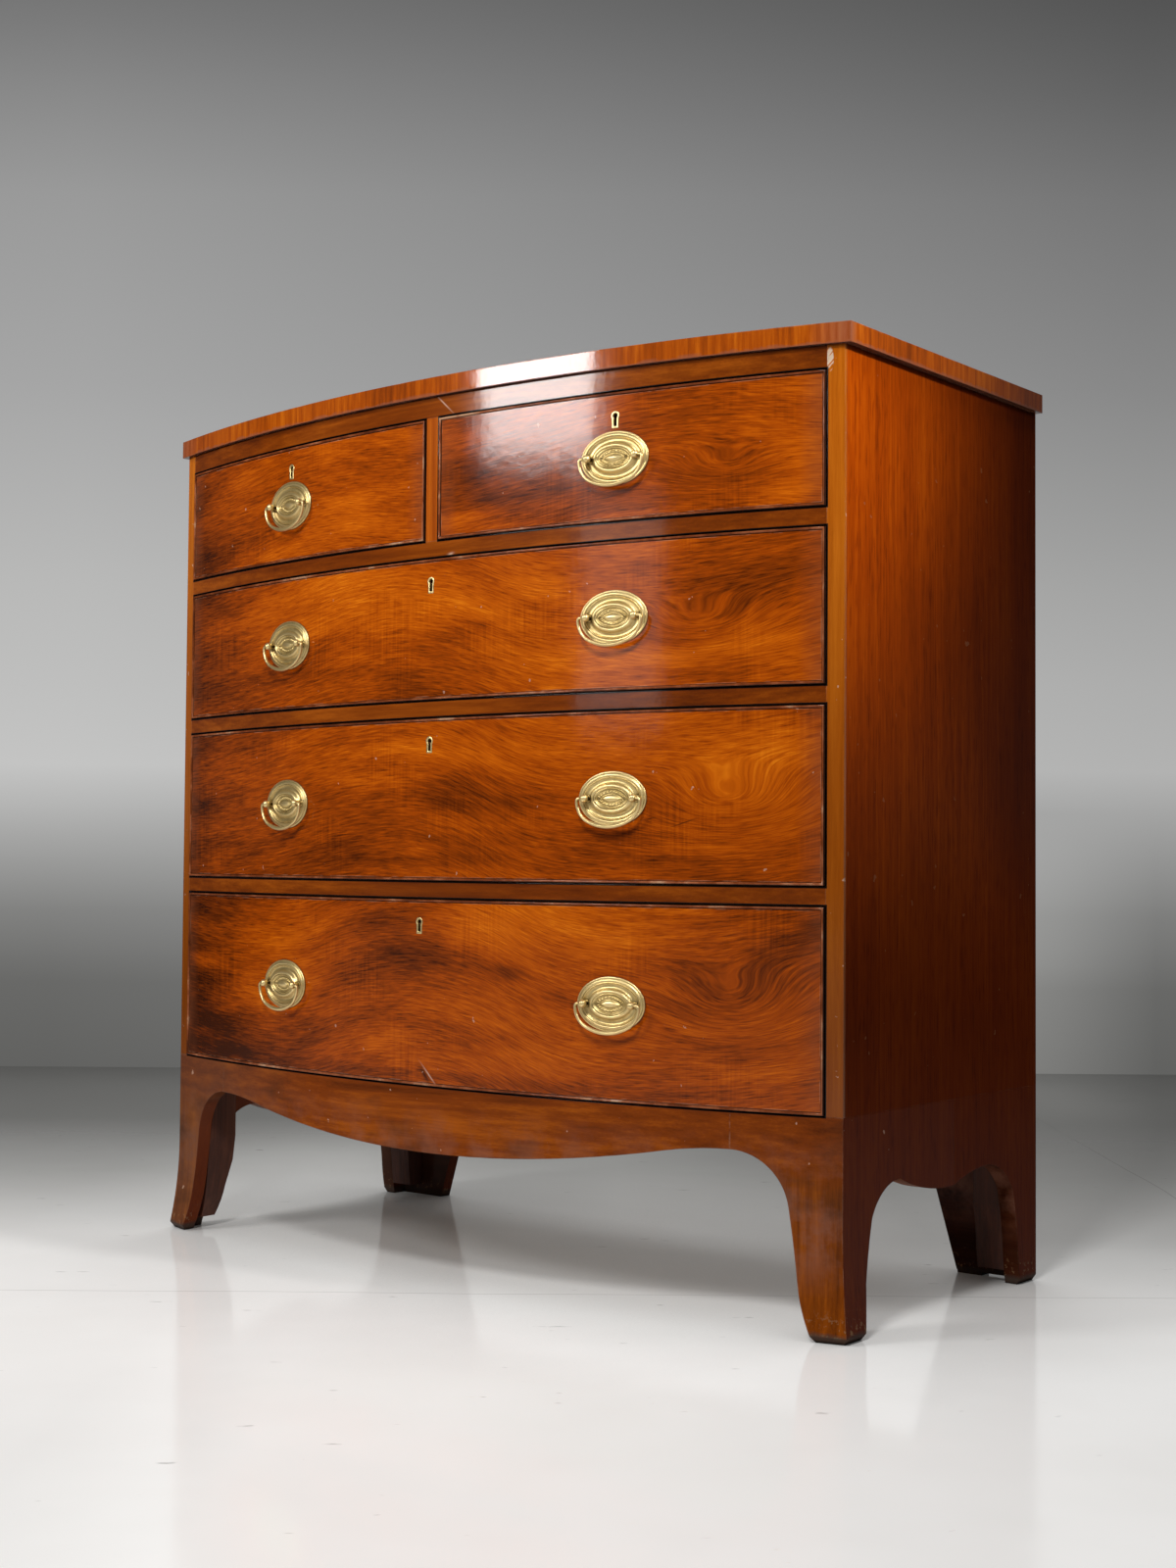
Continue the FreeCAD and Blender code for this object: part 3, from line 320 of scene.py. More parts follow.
class Paint(Tree):
    """A material, with the place of each point of the piece."""

    def __init__(self, name):
        self.material = bpy.data.materials.new(name)
        super().__init__(self.material)
        self.shader = self.nodes["Principled BSDF"]
        self.place = self.node("ShaderNodeTexCoord").outputs["Object"]
        self.x, self.y, self.z = self.node("ShaderNodeSeparateXYZ", {"Vector": self.place}).outputs

    def set(self, **inputs):
        """Feed the shader, and give back the material."""
        for key, value in inputs.items():
            self.feed(self.shader.inputs[key.replace("_", " ")], value)
        return self.material

    def sum(self, *values):
        total = values[0]
        for value in values[1:]:
            total = self.calc("ADD", total, value)
        return total

    def about_half(self, *parts):
        """A half, plus each value's own difference from a half times its weight."""
        total = 0.5
        for value, weight in parts:
            total = self.times_plus(value, weight, self.less(total, 0.5 * weight))
        return total

    def vector(self, x, y, z):
        return self.node("ShaderNodeCombineXYZ", {0: x, 1: y, 2: z}).outputs[0]

    def noise(self, vector, scale=1.0, detail=3.0, rough=0.5):
        inputs = {"Vector": vector, "Scale": scale, "Detail": detail, "Roughness": rough}
        return self.node("ShaderNodeTexNoise", inputs).outputs[0]

    def patches(self, scale, low, high, detail=4, rough=0.65):
        """Noise over the piece: 0 below low, 1 above high."""
        return self.remap(self.noise(self.place, scale, detail, rough), low, high)

    def blend(self, share, first, second):
        return self.node("ShaderNodeMix", {0: share, 2: first, 3: second}).outputs[0]

    def mix(self, share, first, second, mode="MIX"):
        node = self.node("ShaderNodeMix", {0: share, 6: first, 7: second}, data_type="RGBA", blend_type=mode)
        return node.outputs[2]

    def ramp(self, value, stops):
        """Colours along a value from 0 to 1: the first stop, the last one, then those between."""
        node = self.node("ShaderNodeValToRGB", {0: value})
        elements = node.color_ramp.elements
        for index, (place, colour) in enumerate(stops):
            element = elements[index] if index < 2 else elements.new(place)
            element.position = place
            element.color = (*colour, 1)
        return node.outputs[0]

    def curve(self, value, points):
        """A smooth curve of a value from 0 to 1, through given points."""
        node = self.node("ShaderNodeFloatCurve", {"Value": value})
        curve = node.mapping.curves[0]
        curve.points[0].location = points[0]
        curve.points[1].location = points[-1]
        for place in points[1:-1]:
            curve.points.new(*place)
        node.mapping.update()
        return node.outputs[0]

    def offset(self, value, middle, size):
        """How far a value is from a middle, counted in this size."""
        return self.times(self.less(value, middle), 1 / size)

    def bell(self, first, second=0.0):
        """1 where both offsets are 0, fading to 0 beyond 1."""
        square = self.times_plus(first, first, self.times(second, second))
        return self.calc("EXPONENT", self.times(square, -1))

    def spot(self, x, z, wide, tall):
        """1 at a place on the front, fading to 0 over this width and height."""
        return self.bell(self.offset(self.x, x, wide), self.offset(self.z, z, tall))

    def streak(self, x, z, long, thin, slope):
        """1 along a short slanting line on the front, fading to 0 at its ends and sides."""
        right, up = self.less(self.x, x), self.less(self.z, z)
        turn = math.radians(slope)
        along = self.sum(self.times(right, math.cos(turn) / long), self.times(up, math.sin(turn) / long))
        off = self.sum(self.times(right, -math.sin(turn) / thin), self.times(up, math.cos(turn) / thin))
        return self.bell(along, off)

    def true_normal(self):
        return self.node("ShaderNodeNewGeometry").outputs["True Normal"]

    def facing(self):
        """The three parts of the face's own direction."""
        return self.node("ShaderNodeSeparateXYZ", {"Vector": self.true_normal()}).outputs

    def rounded(self, radius):
        """The normal, rounded over the edges."""
        return self.node("ShaderNodeBevel", {"Radius": radius}, samples=4).outputs[0]

    def edges(self, radius):
        """1 on sharp edges, 0 on flat faces; also gives the normal rounded over them."""
        soft = self.rounded(radius)
        return self.remap(self.dot(soft, self.true_normal()), 0.985, 0.86), soft

    def openness(self, reach, samples=8):
        """1 in the open, 0 deep in gaps and holes."""
        return self.node("ShaderNodeAmbientOcclusion", {"Distance": reach}, samples=samples).outputs["AO"]

    def painted_shade_in_hollows(self, colour, reach, low=0.30, high=0.70):
        """The colour, with painted shade where the openness falls from high to low."""
        return self.mix(self.remap(self.openness(reach, 6), high, low), colour, PAINTED_SHADE_BLACK)

    def bump(self, height, strength, distance, normal=None):
        inputs = {"Height": height, "Strength": strength, "Distance": distance}
        if normal is not None:
            inputs["Normal"] = normal
        return self.node("ShaderNodeBump", inputs).outputs[0]


def shades(dark, middle, light):
    """Ramp stops for figure()."""
    return ((0.2, dark), (0.8, light), (0.5, middle))


# Near-black painted shade, for gaps, hollows, undersides and the line under the top.
PAINTED_SHADE_BLACK = (0.004, 0.002, 0.001)
PALE = (0.60, 0.38, 0.26)
CRACK = (0.025, 0.006, 0.002)
FLAME = ((0.16, (0.045, 0.008, 0.001)), (0.84, (0.74, 0.200, 0.006)), (0.34, (0.17, 0.027, 0.001)),
         (0.5, (0.35, 0.056, 0.001)), (0.66, (0.53, 0.105, 0.002)))
MAHOGANY = shades((0.10, 0.022, 0.003), (0.26, 0.058, 0.004), (0.47, 0.125, 0.008))
APRON = shades((0.085, 0.016, 0.002), (0.20, 0.038, 0.003), (0.40, 0.092, 0.005))
DARK = shades((0.085, 0.015, 0.002), (0.18, 0.034, 0.002), (0.32, 0.072, 0.004))
RED = shades((0.20, 0.026, 0.001), (0.36, 0.050, 0.001), (0.55, 0.095, 0.002))
STILE = shades((0.26, 0.056, 0.002), (0.42, 0.098, 0.003), (0.58, 0.16, 0.008))
# Near-black browns, for the rear feet.
NEAR_BLACK_BROWNS = shades((0.026, 0.005, 0.002), (0.058, 0.013, 0.004), (0.10, 0.026, 0.009))
MUNTIN = shades((0.15, 0.027, 0.002), (0.33, 0.060, 0.003), (0.50, 0.115, 0.006))
DARK_PINE = shades((0.030, 0.008, 0.004), (0.080, 0.022, 0.010), (0.16, 0.050, 0.024))
OAK = shades((0.17, 0.095, 0.045), (0.33, 0.20, 0.10), (0.47, 0.31, 0.17))
PINE = shades((0.24, 0.135, 0.06), (0.42, 0.26, 0.125), (0.55, 0.37, 0.20))
BAND = shades((0.12, 0.020, 0.002), (0.36, 0.064, 0.002), (0.64, 0.16, 0.006))
# Cockbead browns: the pale end is rubbed wear and also a painted highlight.
BEAD = ((0.0, (0.085, 0.019, 0.005)), (1.0, (0.46, 0.25, 0.14)), (0.45, (0.19, 0.044, 0.011)),
        (0.75, (0.31, 0.095, 0.036)))
BRASS = ((0.0, (0.040, 0.022, 0.006)), (1.0, (0.76, 0.58, 0.27)), (0.4, (0.19, 0.115, 0.028)),
         (0.75, (0.50, 0.355, 0.12)))
IRON = ((0.35, (0.045, 0.042, 0.040)), (0.7, (0.16, 0.085, 0.045)), (0.5, (0.085, 0.078, 0.072)))


def grain_space(paint, along, seed):
    """The three coordinates of straight grain: along it, then the two across it, gently bent."""
    order = {"x": (paint.x, paint.z, paint.y), "y": (paint.y, paint.z, paint.x), "z": (paint.z, paint.x, paint.y)}
    run, first, second = order[along]
    bend = paint.noise(paint.vector(paint.times(run, 1.3), paint.times(first, 3), paint.sum(second, seed)))
    return run, paint.times_plus(bend, 0.03, first), paint.times_plus(bend, -0.03, second)


def fibres(paint, space, along, across, seed, detail=2, rough=0.5):
    """Noise in a grain space: how fine it is along the grain, and across it."""
    run, first, second = space
    run = paint.times_plus(run, along, seed)
    place = paint.vector(run, paint.times(first, across), paint.times(second, across))
    return paint.noise(place, 1.0, detail, rough)


def figure(paint, space, seed, wide=26, fine=150, strong=1.0):
    """How light the wood is, about a half, and the height of its pores."""
    broad = fibres(paint, space, 1.6, wide, seed, 5, 0.6)
    lines = fibres(paint, space, 4, fine, seed + 3, 4, 0.65)
    pores = fibres(paint, space, 55, 1500, seed + 7)
    patch = fibres(paint, space, 3, 5, seed + 11)
    return paint.about_half((broad, 0.9 * strong), (lines, 0.75), (patch, 0.6), (pores, 0.25)), pores


def polish(paint, colour, pores, soft, coat, gloss, wave=0.0006):
    """French polish: the coloured wood with its open pores, under a wavy clear coat."""
    ripple = paint.noise(paint.place, 26, 3, 0.55)
    waves = paint.sum(ripple, paint.times(paint.noise(paint.place, 210, 2), 0.1))
    return paint.set(Base_Color=colour, Roughness=0.4, Specular_IOR_Level=0.0, Coat_Weight=coat,
                     Coat_Roughness=gloss, Coat_IOR=1.5, Normal=paint.bump(pores, 0.18, 0.0004, soft),
                     Coat_Normal=paint.bump(waves, 0.35, wave, soft))


def from_edges(paint, box):
    """How far a place on the front lies inside a box's two sides, and inside its bottom and top."""
    left, right, low, high = box
    return (paint.least(paint.less(paint.x, left), paint.less(right, paint.x)),
            paint.least(paint.less(paint.z, low), paint.less(high, paint.z)))


def gap_shadows(paint, colour, start, end):
    """Painted shadow: black in the gap round each drawer, between these distances outside its edge."""
    nearest = None
    for box in DRAWERS.values():
        inside = paint.least(*from_edges(paint, box[:4]))
        nearest = paint.most(nearest, inside) if nearest else inside
    return paint.mix(paint.remap(nearest, -start, -end), colour, PAINTED_SHADE_BLACK)


def veneer_edges(paint, colour, drawer):
    """Dull brown ends, a dark joint against the cockbead, and a pale rubbed line beside it."""
    beside, above = from_edges(paint, DRAWERS[drawer][:4])
    inside = paint.less(paint.least(beside, above), BEAD_WIDTH)
    patch = paint.noise(paint.place, 30, 4, 0.6)
    dull = paint.times(paint.remap(paint.sum(beside, paint.times(patch, 0.02)), 0.040, 0.012),
                       paint.remap(patch, 0.35, 0.65, 0.15, 0.55))
    colour = paint.mix(dull, colour, (0.21, 0.066, 0.028))
    line = paint.times(paint.remap(inside, 0.0017, 0.0008), paint.patches(48, 0.46, 0.60, 4, 0.6))
    colour = paint.mix(paint.times(line, 0.45), colour, (0.52, 0.27, 0.15))
    colour = paint.mix(paint.remap(inside, 0.0009, 0.0003), colour, (0.03, 0.008, 0.003))
    # The hidden edges of the front are plain dusty mahogany.
    plain = paint.ramp(patch, ((0.3, (0.10, 0.030, 0.012)), (0.7, (0.22, 0.075, 0.032))))
    return paint.mix(paint.remap(paint.facing()[1], -0.5, -0.3), colour, plain)


def flame(drawer, seed, flow, eyes=(), smoke=(), glow=(), marks=()):
    """Flame veneer: its lines follow a given flow with oval eyes, under smoky and golden patches."""
    paint = Paint(f"flame_{drawer}")
    lift = paint.times(paint.less(paint.curve(paint.remap(paint.x, -0.5, 0.5), flow), 0.5), 0.24)
    across = paint.less(paint.z, lift)
    for x, z, wide, tall, strength in eyes:
        across = paint.times_plus(paint.spot(x, z, wide, tall), strength, across)
    slow = paint.noise(paint.vector(paint.times(paint.x, 4), seed, paint.times(paint.z, 9)), 1.0, 2)
    quick = paint.noise(paint.vector(paint.times(paint.x, 16), seed, paint.times(paint.z, 45)), 1.0, 2)
    across = paint.sum(across, paint.times(slow, 0.009), paint.times(quick, 0.002))
    space = (paint.x, across, paint.times(paint.y, 0.05))
    clouds = fibres(paint, space, 3.0, 7, seed + 2, 3)
    streaks = fibres(paint, space, 7, 34, seed + 5, 4)
    lines = fibres(paint, space, 30, 420, seed + 3, 3, 0.6)
    dashes = paint.remap(fibres(paint, space, 48, 620, seed + 13), 0.56, 0.68)
    pores = fibres(paint, space, 60, 1300, seed + 7)
    cross = fibres(paint, space, 260, 7, seed + 23)
    patches = paint.noise(paint.vector(paint.times(paint.x, 8), seed + 5, paint.times(paint.z, 10)))
    ripple = paint.times_plus(paint.less(cross, 0.5), paint.remap(patches, 0.52, 0.66), 0.5)
    light = paint.about_half((clouds, 0.72), (streaks, 0.42), (lines, 0.5), (pores, 0.35), (ripple, 0.3))
    light = paint.times_plus(dashes, -0.10, light)
    ragged = paint.remap(fibres(paint, space, 3.0, 30, seed + 29, 5, 0.6), 0.32, 0.62, 0.62, 1.0)
    # The broad smoke at each left end is painted shade; the other smoke and glow is figure in the wood.
    for sign, places in ((1, glow), (-1, smoke)):
        for x, z, wide, tall, strength in places:
            patch = paint.times(paint.spot(x, z, wide, tall), ragged)
            light = paint.times_plus(patch, sign * strength, light)
    colour = veneer_edges(paint, paint.ramp(light, FLAME), drawer)
    for x, z, long, thin, slope, tone in marks:
        colour = paint.mix(paint.times(paint.streak(x, z, long, thin, slope), 0.85), colour, tone)
    colour = paint.mix(paint.times(paint.patches(120, 0.775, 0.785, 2, 0.4), 0.5), colour, PALE)
    # Painted shade where the front is hemmed in, round the brass and the cockbead.
    return polish(paint, paint.painted_shade_in_hollows(colour, 0.012, 0.1, 0.4), pores, None, 0.5, 0.11)


def straight(name, along, seed, stops, worn, coat=0.7, dirt=None, radius=0.0012):
    """Plain straight-grained polished wood, rubbed pale along its edges."""
    paint = Paint(name)
    light, pores = figure(paint, grain_space(paint, along, seed), seed)
    edge, soft = paint.edges(radius)
    rubbed = paint.times(paint.times(edge, paint.patches(60, 0.42, 0.62)), worn)
    colour = paint.mix(rubbed, paint.ramp(light, stops), (0.42, 0.20, 0.10))
    # The added marks can bring painted shade: the stiles' darker lower part and the shadow line under the top.
    if dirt:
        colour = dirt(paint, colour)
    # Painted shadow in the gaps round the drawers, and painted shade in the crevices.
    colour = gap_shadows(paint, colour, 0.0026, 0.0021)
    return polish(paint, paint.painted_shade_in_hollows(colour, 0.006), pores, soft, coat, 0.1)


def top_paint():
    """The top: long grain inside a crossbanded border, whose joints show on the edge."""
    paint = Paint("top_crossbanded")
    light, pores = figure(paint, grain_space(paint, "x", 31), 31, 14, 110)
    field = paint.ramp(light, RED)
    reach = paint.calc("SQRT", paint.sum(paint.times(paint.x, paint.x),
                                         paint.calc("POWER", paint.less(BOW_AXIS_Y, paint.y), 2)))
    front = paint.less(BOW_RADIUS + TOP_OVERHANG, reach)
    side = paint.less(TOP_HALF, paint.size(paint.x))
    inside = paint.least(side, front)
    by_side = paint.calc("LESS_THAN", side, front)
    band = paint.calc("LESS_THAN", inside, BAND_WIDTH)
    # Short grain runs across the border: fine along it, coarse across it.
    run = paint.blend(by_side, paint.x, paint.y)
    rest = paint.blend(by_side, paint.y, paint.x)
    stripes = paint.noise(paint.vector(paint.times(run, 170), paint.times(rest, 9), paint.times(paint.z, 9)),
                          1.0, 5, 0.7)
    blocks = paint.noise(paint.vector(paint.times(run, 6), 4.0, 2.0), 1.0, 2)
    short = paint.ramp(paint.about_half((stripes, 0.85), (blocks, 0.75)), BAND)
    joint = paint.remap(paint.size(paint.less(inside, BAND_WIDTH)), 0.0, 0.0007, 1, 0)
    colour = paint.mix(paint.times(joint, 0.7), paint.mix(band, field, short), (0.02, 0.006, 0.003))
    edge, soft = paint.edges(0.0015)
    rubbed = paint.patches(45, 0.45, 0.62)
    colour = paint.mix(paint.times(paint.times(edge, rubbed), 0.7), colour, (0.55, 0.27, 0.15))
    # Painted shade: the underside is black.
    colour = paint.mix(paint.remap(paint.facing()[2], -0.5, -0.8), colour, PAINTED_SHADE_BLACK)
    # The lower edge and the two front corners are rubbed brown.
    low = paint.remap(paint.sum(paint.z, paint.times(rubbed, 0.003)), 1.0235, 1.0205)
    corner = paint.times(paint.remap(side, 0.045, 0.0), paint.remap(front, 0.012, 0.0))
    corner = paint.times(corner, paint.remap(stripes, 0.35, 0.6, 0.2, 0.8))
    colour = paint.mix(paint.most(paint.times(low, 0.55), corner), colour, (0.27, 0.10, 0.055))
    return polish(paint, colour, pores, soft, 0.85, 0.08)


def side_wood(paint):
    """The sides' colour, darker toward the back and the floor with painted shade, and the height of their pores."""
    space = grain_space(paint, "z", 5)
    light, pores = figure(paint, space, 5, 34, 260, 0.55)
    dashes = paint.remap(fibres(paint, space, 34, 430, 8), 0.54, 0.68)
    light = paint.times_plus(dashes, -0.22, paint.sum(light, 0.04))
    patch = paint.noise(paint.place, 3.5, 3)
    # Painted shade: darker toward the back and the floor.
    rear = paint.remap(paint.sum(paint.y, paint.times(patch, 0.1)), -0.16, 0.28)
    low = paint.remap(paint.sum(paint.z, paint.times(patch, 0.2)), 1.02, 0.42)
    dark = paint.times(paint.most(rear, low), 0.70)
    return paint.mix(dark, paint.ramp(light, RED), (0.035, 0.004, 0.001)), pores


def side_paint():
    """The sides: plain vertical grain, duller than the front."""
    paint = Paint("side_mahogany")
    colour, pores = side_wood(paint)
    edge, soft = paint.edges(0.0012)
    nicks = paint.times(edge, paint.patches(60, 0.5, 0.62))
    specks = paint.patches(95, 0.755, 0.77, 2, 0.4)
    colour = paint.mix(paint.times(paint.most(nicks, specks), 0.45), colour, (0.30, 0.13, 0.06))
    # Painted shade in the corners, such as under the top's overhang.
    return polish(paint, paint.painted_shade_in_hollows(colour, 0.010, 0.5, 0.85), pores, soft, 0.07, 0.2)


def rail_marks_and_shadow(paint, colour):
    """A scratch across the top rail, a chip on the rail below it, and a painted shadow line under the top."""
    for mark in ((0.018, 1.009, 0.015, 0.0008, -42), (0.030, 0.8345, 0.004, 0.0015, 10)):
        colour = paint.mix(paint.times(paint.streak(*mark), 0.8), colour, PALE)
    # Painted shadow: a black line just under the top.
    return paint.mix(paint.remap(paint.z, 1.0170, 1.0185), colour, PAINTED_SHADE_BLACK)


def stile_shade_and_chips(paint, colour):
    """Stiles: darker toward the floor with painted shade, with varnish chipped off in slanting flakes beside the
    top rail.
    """
    # Painted shade: darker toward the floor.
    low = paint.remap(paint.z, 0.95, 0.30)
    colour = paint.mix(paint.times(low, 0.62), colour, (0.085, 0.016, 0.001))
    across = paint.times_plus(paint.x, 420, paint.times(paint.z, -330))
    flakes = paint.remap(paint.noise(paint.vector(across, paint.times(paint.z, 90), 3.0), 1.0, 2), 0.40, 0.50)
    chipped = paint.times(flakes, paint.remap(paint.spot(0.4955, 1.0035, 0.0035, 0.012), 0.30, 0.45))
    nicks = paint.patches(130, 0.72, 0.75, 2, 0.5)
    return paint.mix(paint.most(chipped, paint.times(nicks, 0.5)), colour, (0.62, 0.47, 0.34))


def foot_dirt_and_shade(paint, colour):
    """Feet: dark on their sides with the sides' painted shade, rubbed pinkish in the middle, duller at the left,
    grey at the sole.
    """
    patch = paint.noise(paint.place, 22, 4, 0.65)
    middle = paint.times(paint.remap(paint.z, 0.045, 0.10), paint.remap(paint.z, 0.21, 0.13))
    rubbed = paint.times(middle, paint.remap(patch, 0.40, 0.60))
    colour = paint.mix(paint.times(rubbed, 0.7), colour, (0.25, 0.100, 0.062))
    colour = paint.mix(paint.remap(paint.x, -0.2, -0.4, 0.0, 0.55), colour, (0.095, 0.048, 0.032))
    smoke = fibres(paint, (paint.x, paint.z, paint.y), 9, 16, 3.0, 4, 0.6)
    colour = paint.mix(paint.remap(smoke, 0.54, 0.74, 0.0, 0.6), colour, (0.045, 0.018, 0.009))
    # The feet's sides take the sides' colour, with its painted shade toward the back and the floor.
    facing_x = paint.facing()[0]
    sideways = paint.remap(paint.size(facing_x), 0.6, 0.8)
    inner = paint.times(paint.remap(facing_x, 0.6, 0.8), paint.remap(paint.z, 0.04, 0.14, 0.2, 0.6))
    inner = paint.times(inner, paint.remap(paint.x, -0.30, -0.34))
    colour = paint.mix(sideways, colour, paint.mix(inner, side_wood(paint)[0], (0.26, 0.075, 0.034)))
    chipped = paint.times(paint.remap(paint.z, 0.035, 0.008), paint.patches(150, 0.58, 0.64, 3, 0.7))
    colour = paint.mix(chipped, colour, (0.30, 0.16, 0.075))
    low = paint.remap(paint.sum(paint.z, paint.times(patch, 0.012)), 0.0125, 0.0175, 1, 0)
    return paint.mix(paint.times(low, 0.85), colour, (0.075, 0.052, 0.040))


def plinth_paint():
    """Apron and front feet: the grain runs level along the top and down each leg."""
    paint = Paint("plinth_mahogany")
    level, pores = figure(paint, grain_space(paint, "x", 17), 17, 18, 110)
    down, _ = figure(paint, grain_space(paint, "z", 19), 19)
    patch = paint.noise(paint.place, 16, 3, 0.6)
    leg = paint.times(paint.remap(paint.sum(paint.z, paint.times(patch, 0.05)), 0.215, 0.175),
                      paint.remap(paint.size(paint.x), 0.415, 0.45))
    colour = paint.mix(leg, paint.ramp(level, APRON), paint.ramp(down, MAHOGANY))
    edge, soft = paint.edges(0.002)
    rubbed = paint.times(paint.times(edge, paint.patches(60, 0.40, 0.60)), 0.85)
    colour = foot_dirt_and_shade(paint, paint.mix(rubbed, colour, (0.44, 0.23, 0.13)))
    colour = paint.mix(paint.times(paint.patches(100, 0.755, 0.77, 2, 0.4), 0.6), colour, PALE)
    # Painted shadow in the gaps, and painted shade in the crevices.
    colour = gap_shadows(paint, colour, 0.0024, 0.0018)
    return polish(paint, paint.painted_shade_in_hollows(colour, 0.006), pores, soft, 0.15, 0.16)


def bead_paint():
    """Cockbeads: brown and rounded, rubbed a little paler here and there, the pale also a painted highlight, with
    painted shadow where they face the gaps.
    """
    paint = Paint("cockbead_mahogany")
    worn = paint.noise(paint.place, 38, 4, 0.6)
    light = paint.remap(paint.sum(worn, paint.times(paint.noise(paint.place, 7, 2), 0.7)), 0.62, 1.10)
    # Painted shadow on the bead where it faces a gap.
    colour = gap_shadows(paint, paint.ramp(light, BEAD), -0.0010, -0.0004)
    facing = paint.facing()
    outward = paint.most(paint.size(facing[0]), paint.size(facing[2]))
    colour = paint.mix(paint.remap(outward, 0.95, 0.995), colour, (0.085, 0.024, 0.010))
    # Painted shade in the bead's crevices.
    return polish(paint, paint.painted_shade_in_hollows(colour, 0.005, 0.25, 0.62), worn, None, 0.3, 0.14, 0.0001)


def raw_wood(name, along, seed, stops, grime=(0.10, 0.062, 0.035)):
    """Bare oak or pine inside the case."""
    paint = Paint(name)
    light, pores = figure(paint, grain_space(paint, along, seed), seed, 40, 260)
    dirt = paint.noise(paint.place, 9, 4, 0.6)
    colour = paint.mix(paint.remap(dirt, 0.5, 0.8, 0, 0.5), paint.ramp(light, stops), grime)
    return paint.set(Base_Color=colour, Roughness=paint.remap(pores, 0.3, 0.7, 0.6, 0.8),
                     Normal=paint.bump(pores, 0.35, 0.0006, paint.rounded(0.0012)))


def brass_paint():
    """Old lacquered brass: pale gold where it is rubbed, brown in the hollows as tarnish and as painted shade."""
    paint = Paint("aged_brass")
    stain = paint.noise(paint.place, 110, 4, 0.6)
    # Brown tarnish and painted shade in the hollows, where the openness is low.
    clean_and_unshaded = paint.remap(paint.sum(paint.openness(0.0045), paint.times(stain, 0.30)), 0.68, 1.10)
    return paint.set(Base_Color=paint.ramp(clean_and_unshaded, BRASS), Metallic=0.9, Normal=paint.bump(stain, 0.08, 0.0002),
                     Roughness=paint.remap(clean_and_unshaded, 0.0, 1.0, 0.55, 0.36))


def iron_paint():
    """Old iron: duller and rougher where it has rusted."""
    paint = Paint("old_iron")
    rust = paint.noise(paint.place, 160, 5, 0.7)
    # Painted shade in the hollows of the iron.
    return paint.set(Base_Color=paint.painted_shade_in_hollows(paint.ramp(rust, IRON), 0.02, 0.1, 0.4),
                     Metallic=paint.remap(rust, 0.6, 0.5), Roughness=paint.remap(rust, 0.3, 0.7, 0.38, 0.75),
                     Normal=paint.bump(rust, 0.3, 0.0004, paint.rounded(0.0005)))


def dress(paint, *names):
    """Give carried-over CAD nodes a material."""
    for name in names:
        NODES[name].data.materials.clear()
        NODES[name].data.materials.append(paint)


def dress_frame():
    dress(top_paint(), "top_board")
    dress(side_paint(), "side_left", "side_right")
    dress(straight("stile_mahogany", "z", 9, STILE, worn=0.6, dirt=stile_shade_and_chips), "corner_stiles")
    dress(straight("rail_mahogany", "x", 13, DARK, worn=0.7, coat=0.6, dirt=rail_marks_and_shadow), "top_rail", "drawer_rails")
    dress(straight("muntin_mahogany", "z", 15, MUNTIN, worn=0.6), "muntin")
    dress(plinth_paint(), "apron", "foot_front_left", "foot_front_right")
    rear = straight("rear_foot_mahogany", "x", 23, NEAR_BLACK_BROWNS, worn=0.3, coat=0.1, dirt=foot_dirt_and_shade, radius=0.002)
    dress(rear, "rear_feet")
    dress(raw_wood("pine_x", "x", 41, PINE), "drawer_stops", "bottom_board", "drawer_runners")
    dress(raw_wood("pine_y", "y", 42, PINE), "dust_boards")
    dress(raw_wood("pine_z", "z", 43, PINE), "back_boards")
    dress(raw_wood("dark_pine", "z", 44, DARK_PINE, grime=(0.030, 0.010, 0.006)), "foot_blocks")
    for name in DRAWERS:
        dress(raw_wood(f"oak_{name}", "y", 50 + len(name), OAK), f"{name}_drawer_box")
        dress(raw_wood(f"drawer_pine_{name}", "x", 60 + len(name), PINE), f"{name}_drawer_bottom")
    iron = iron_paint()
    for name in DRAWERS:
        dress(iron, f"{name}_drawer_lock", f"{name}_drawer_bolt")
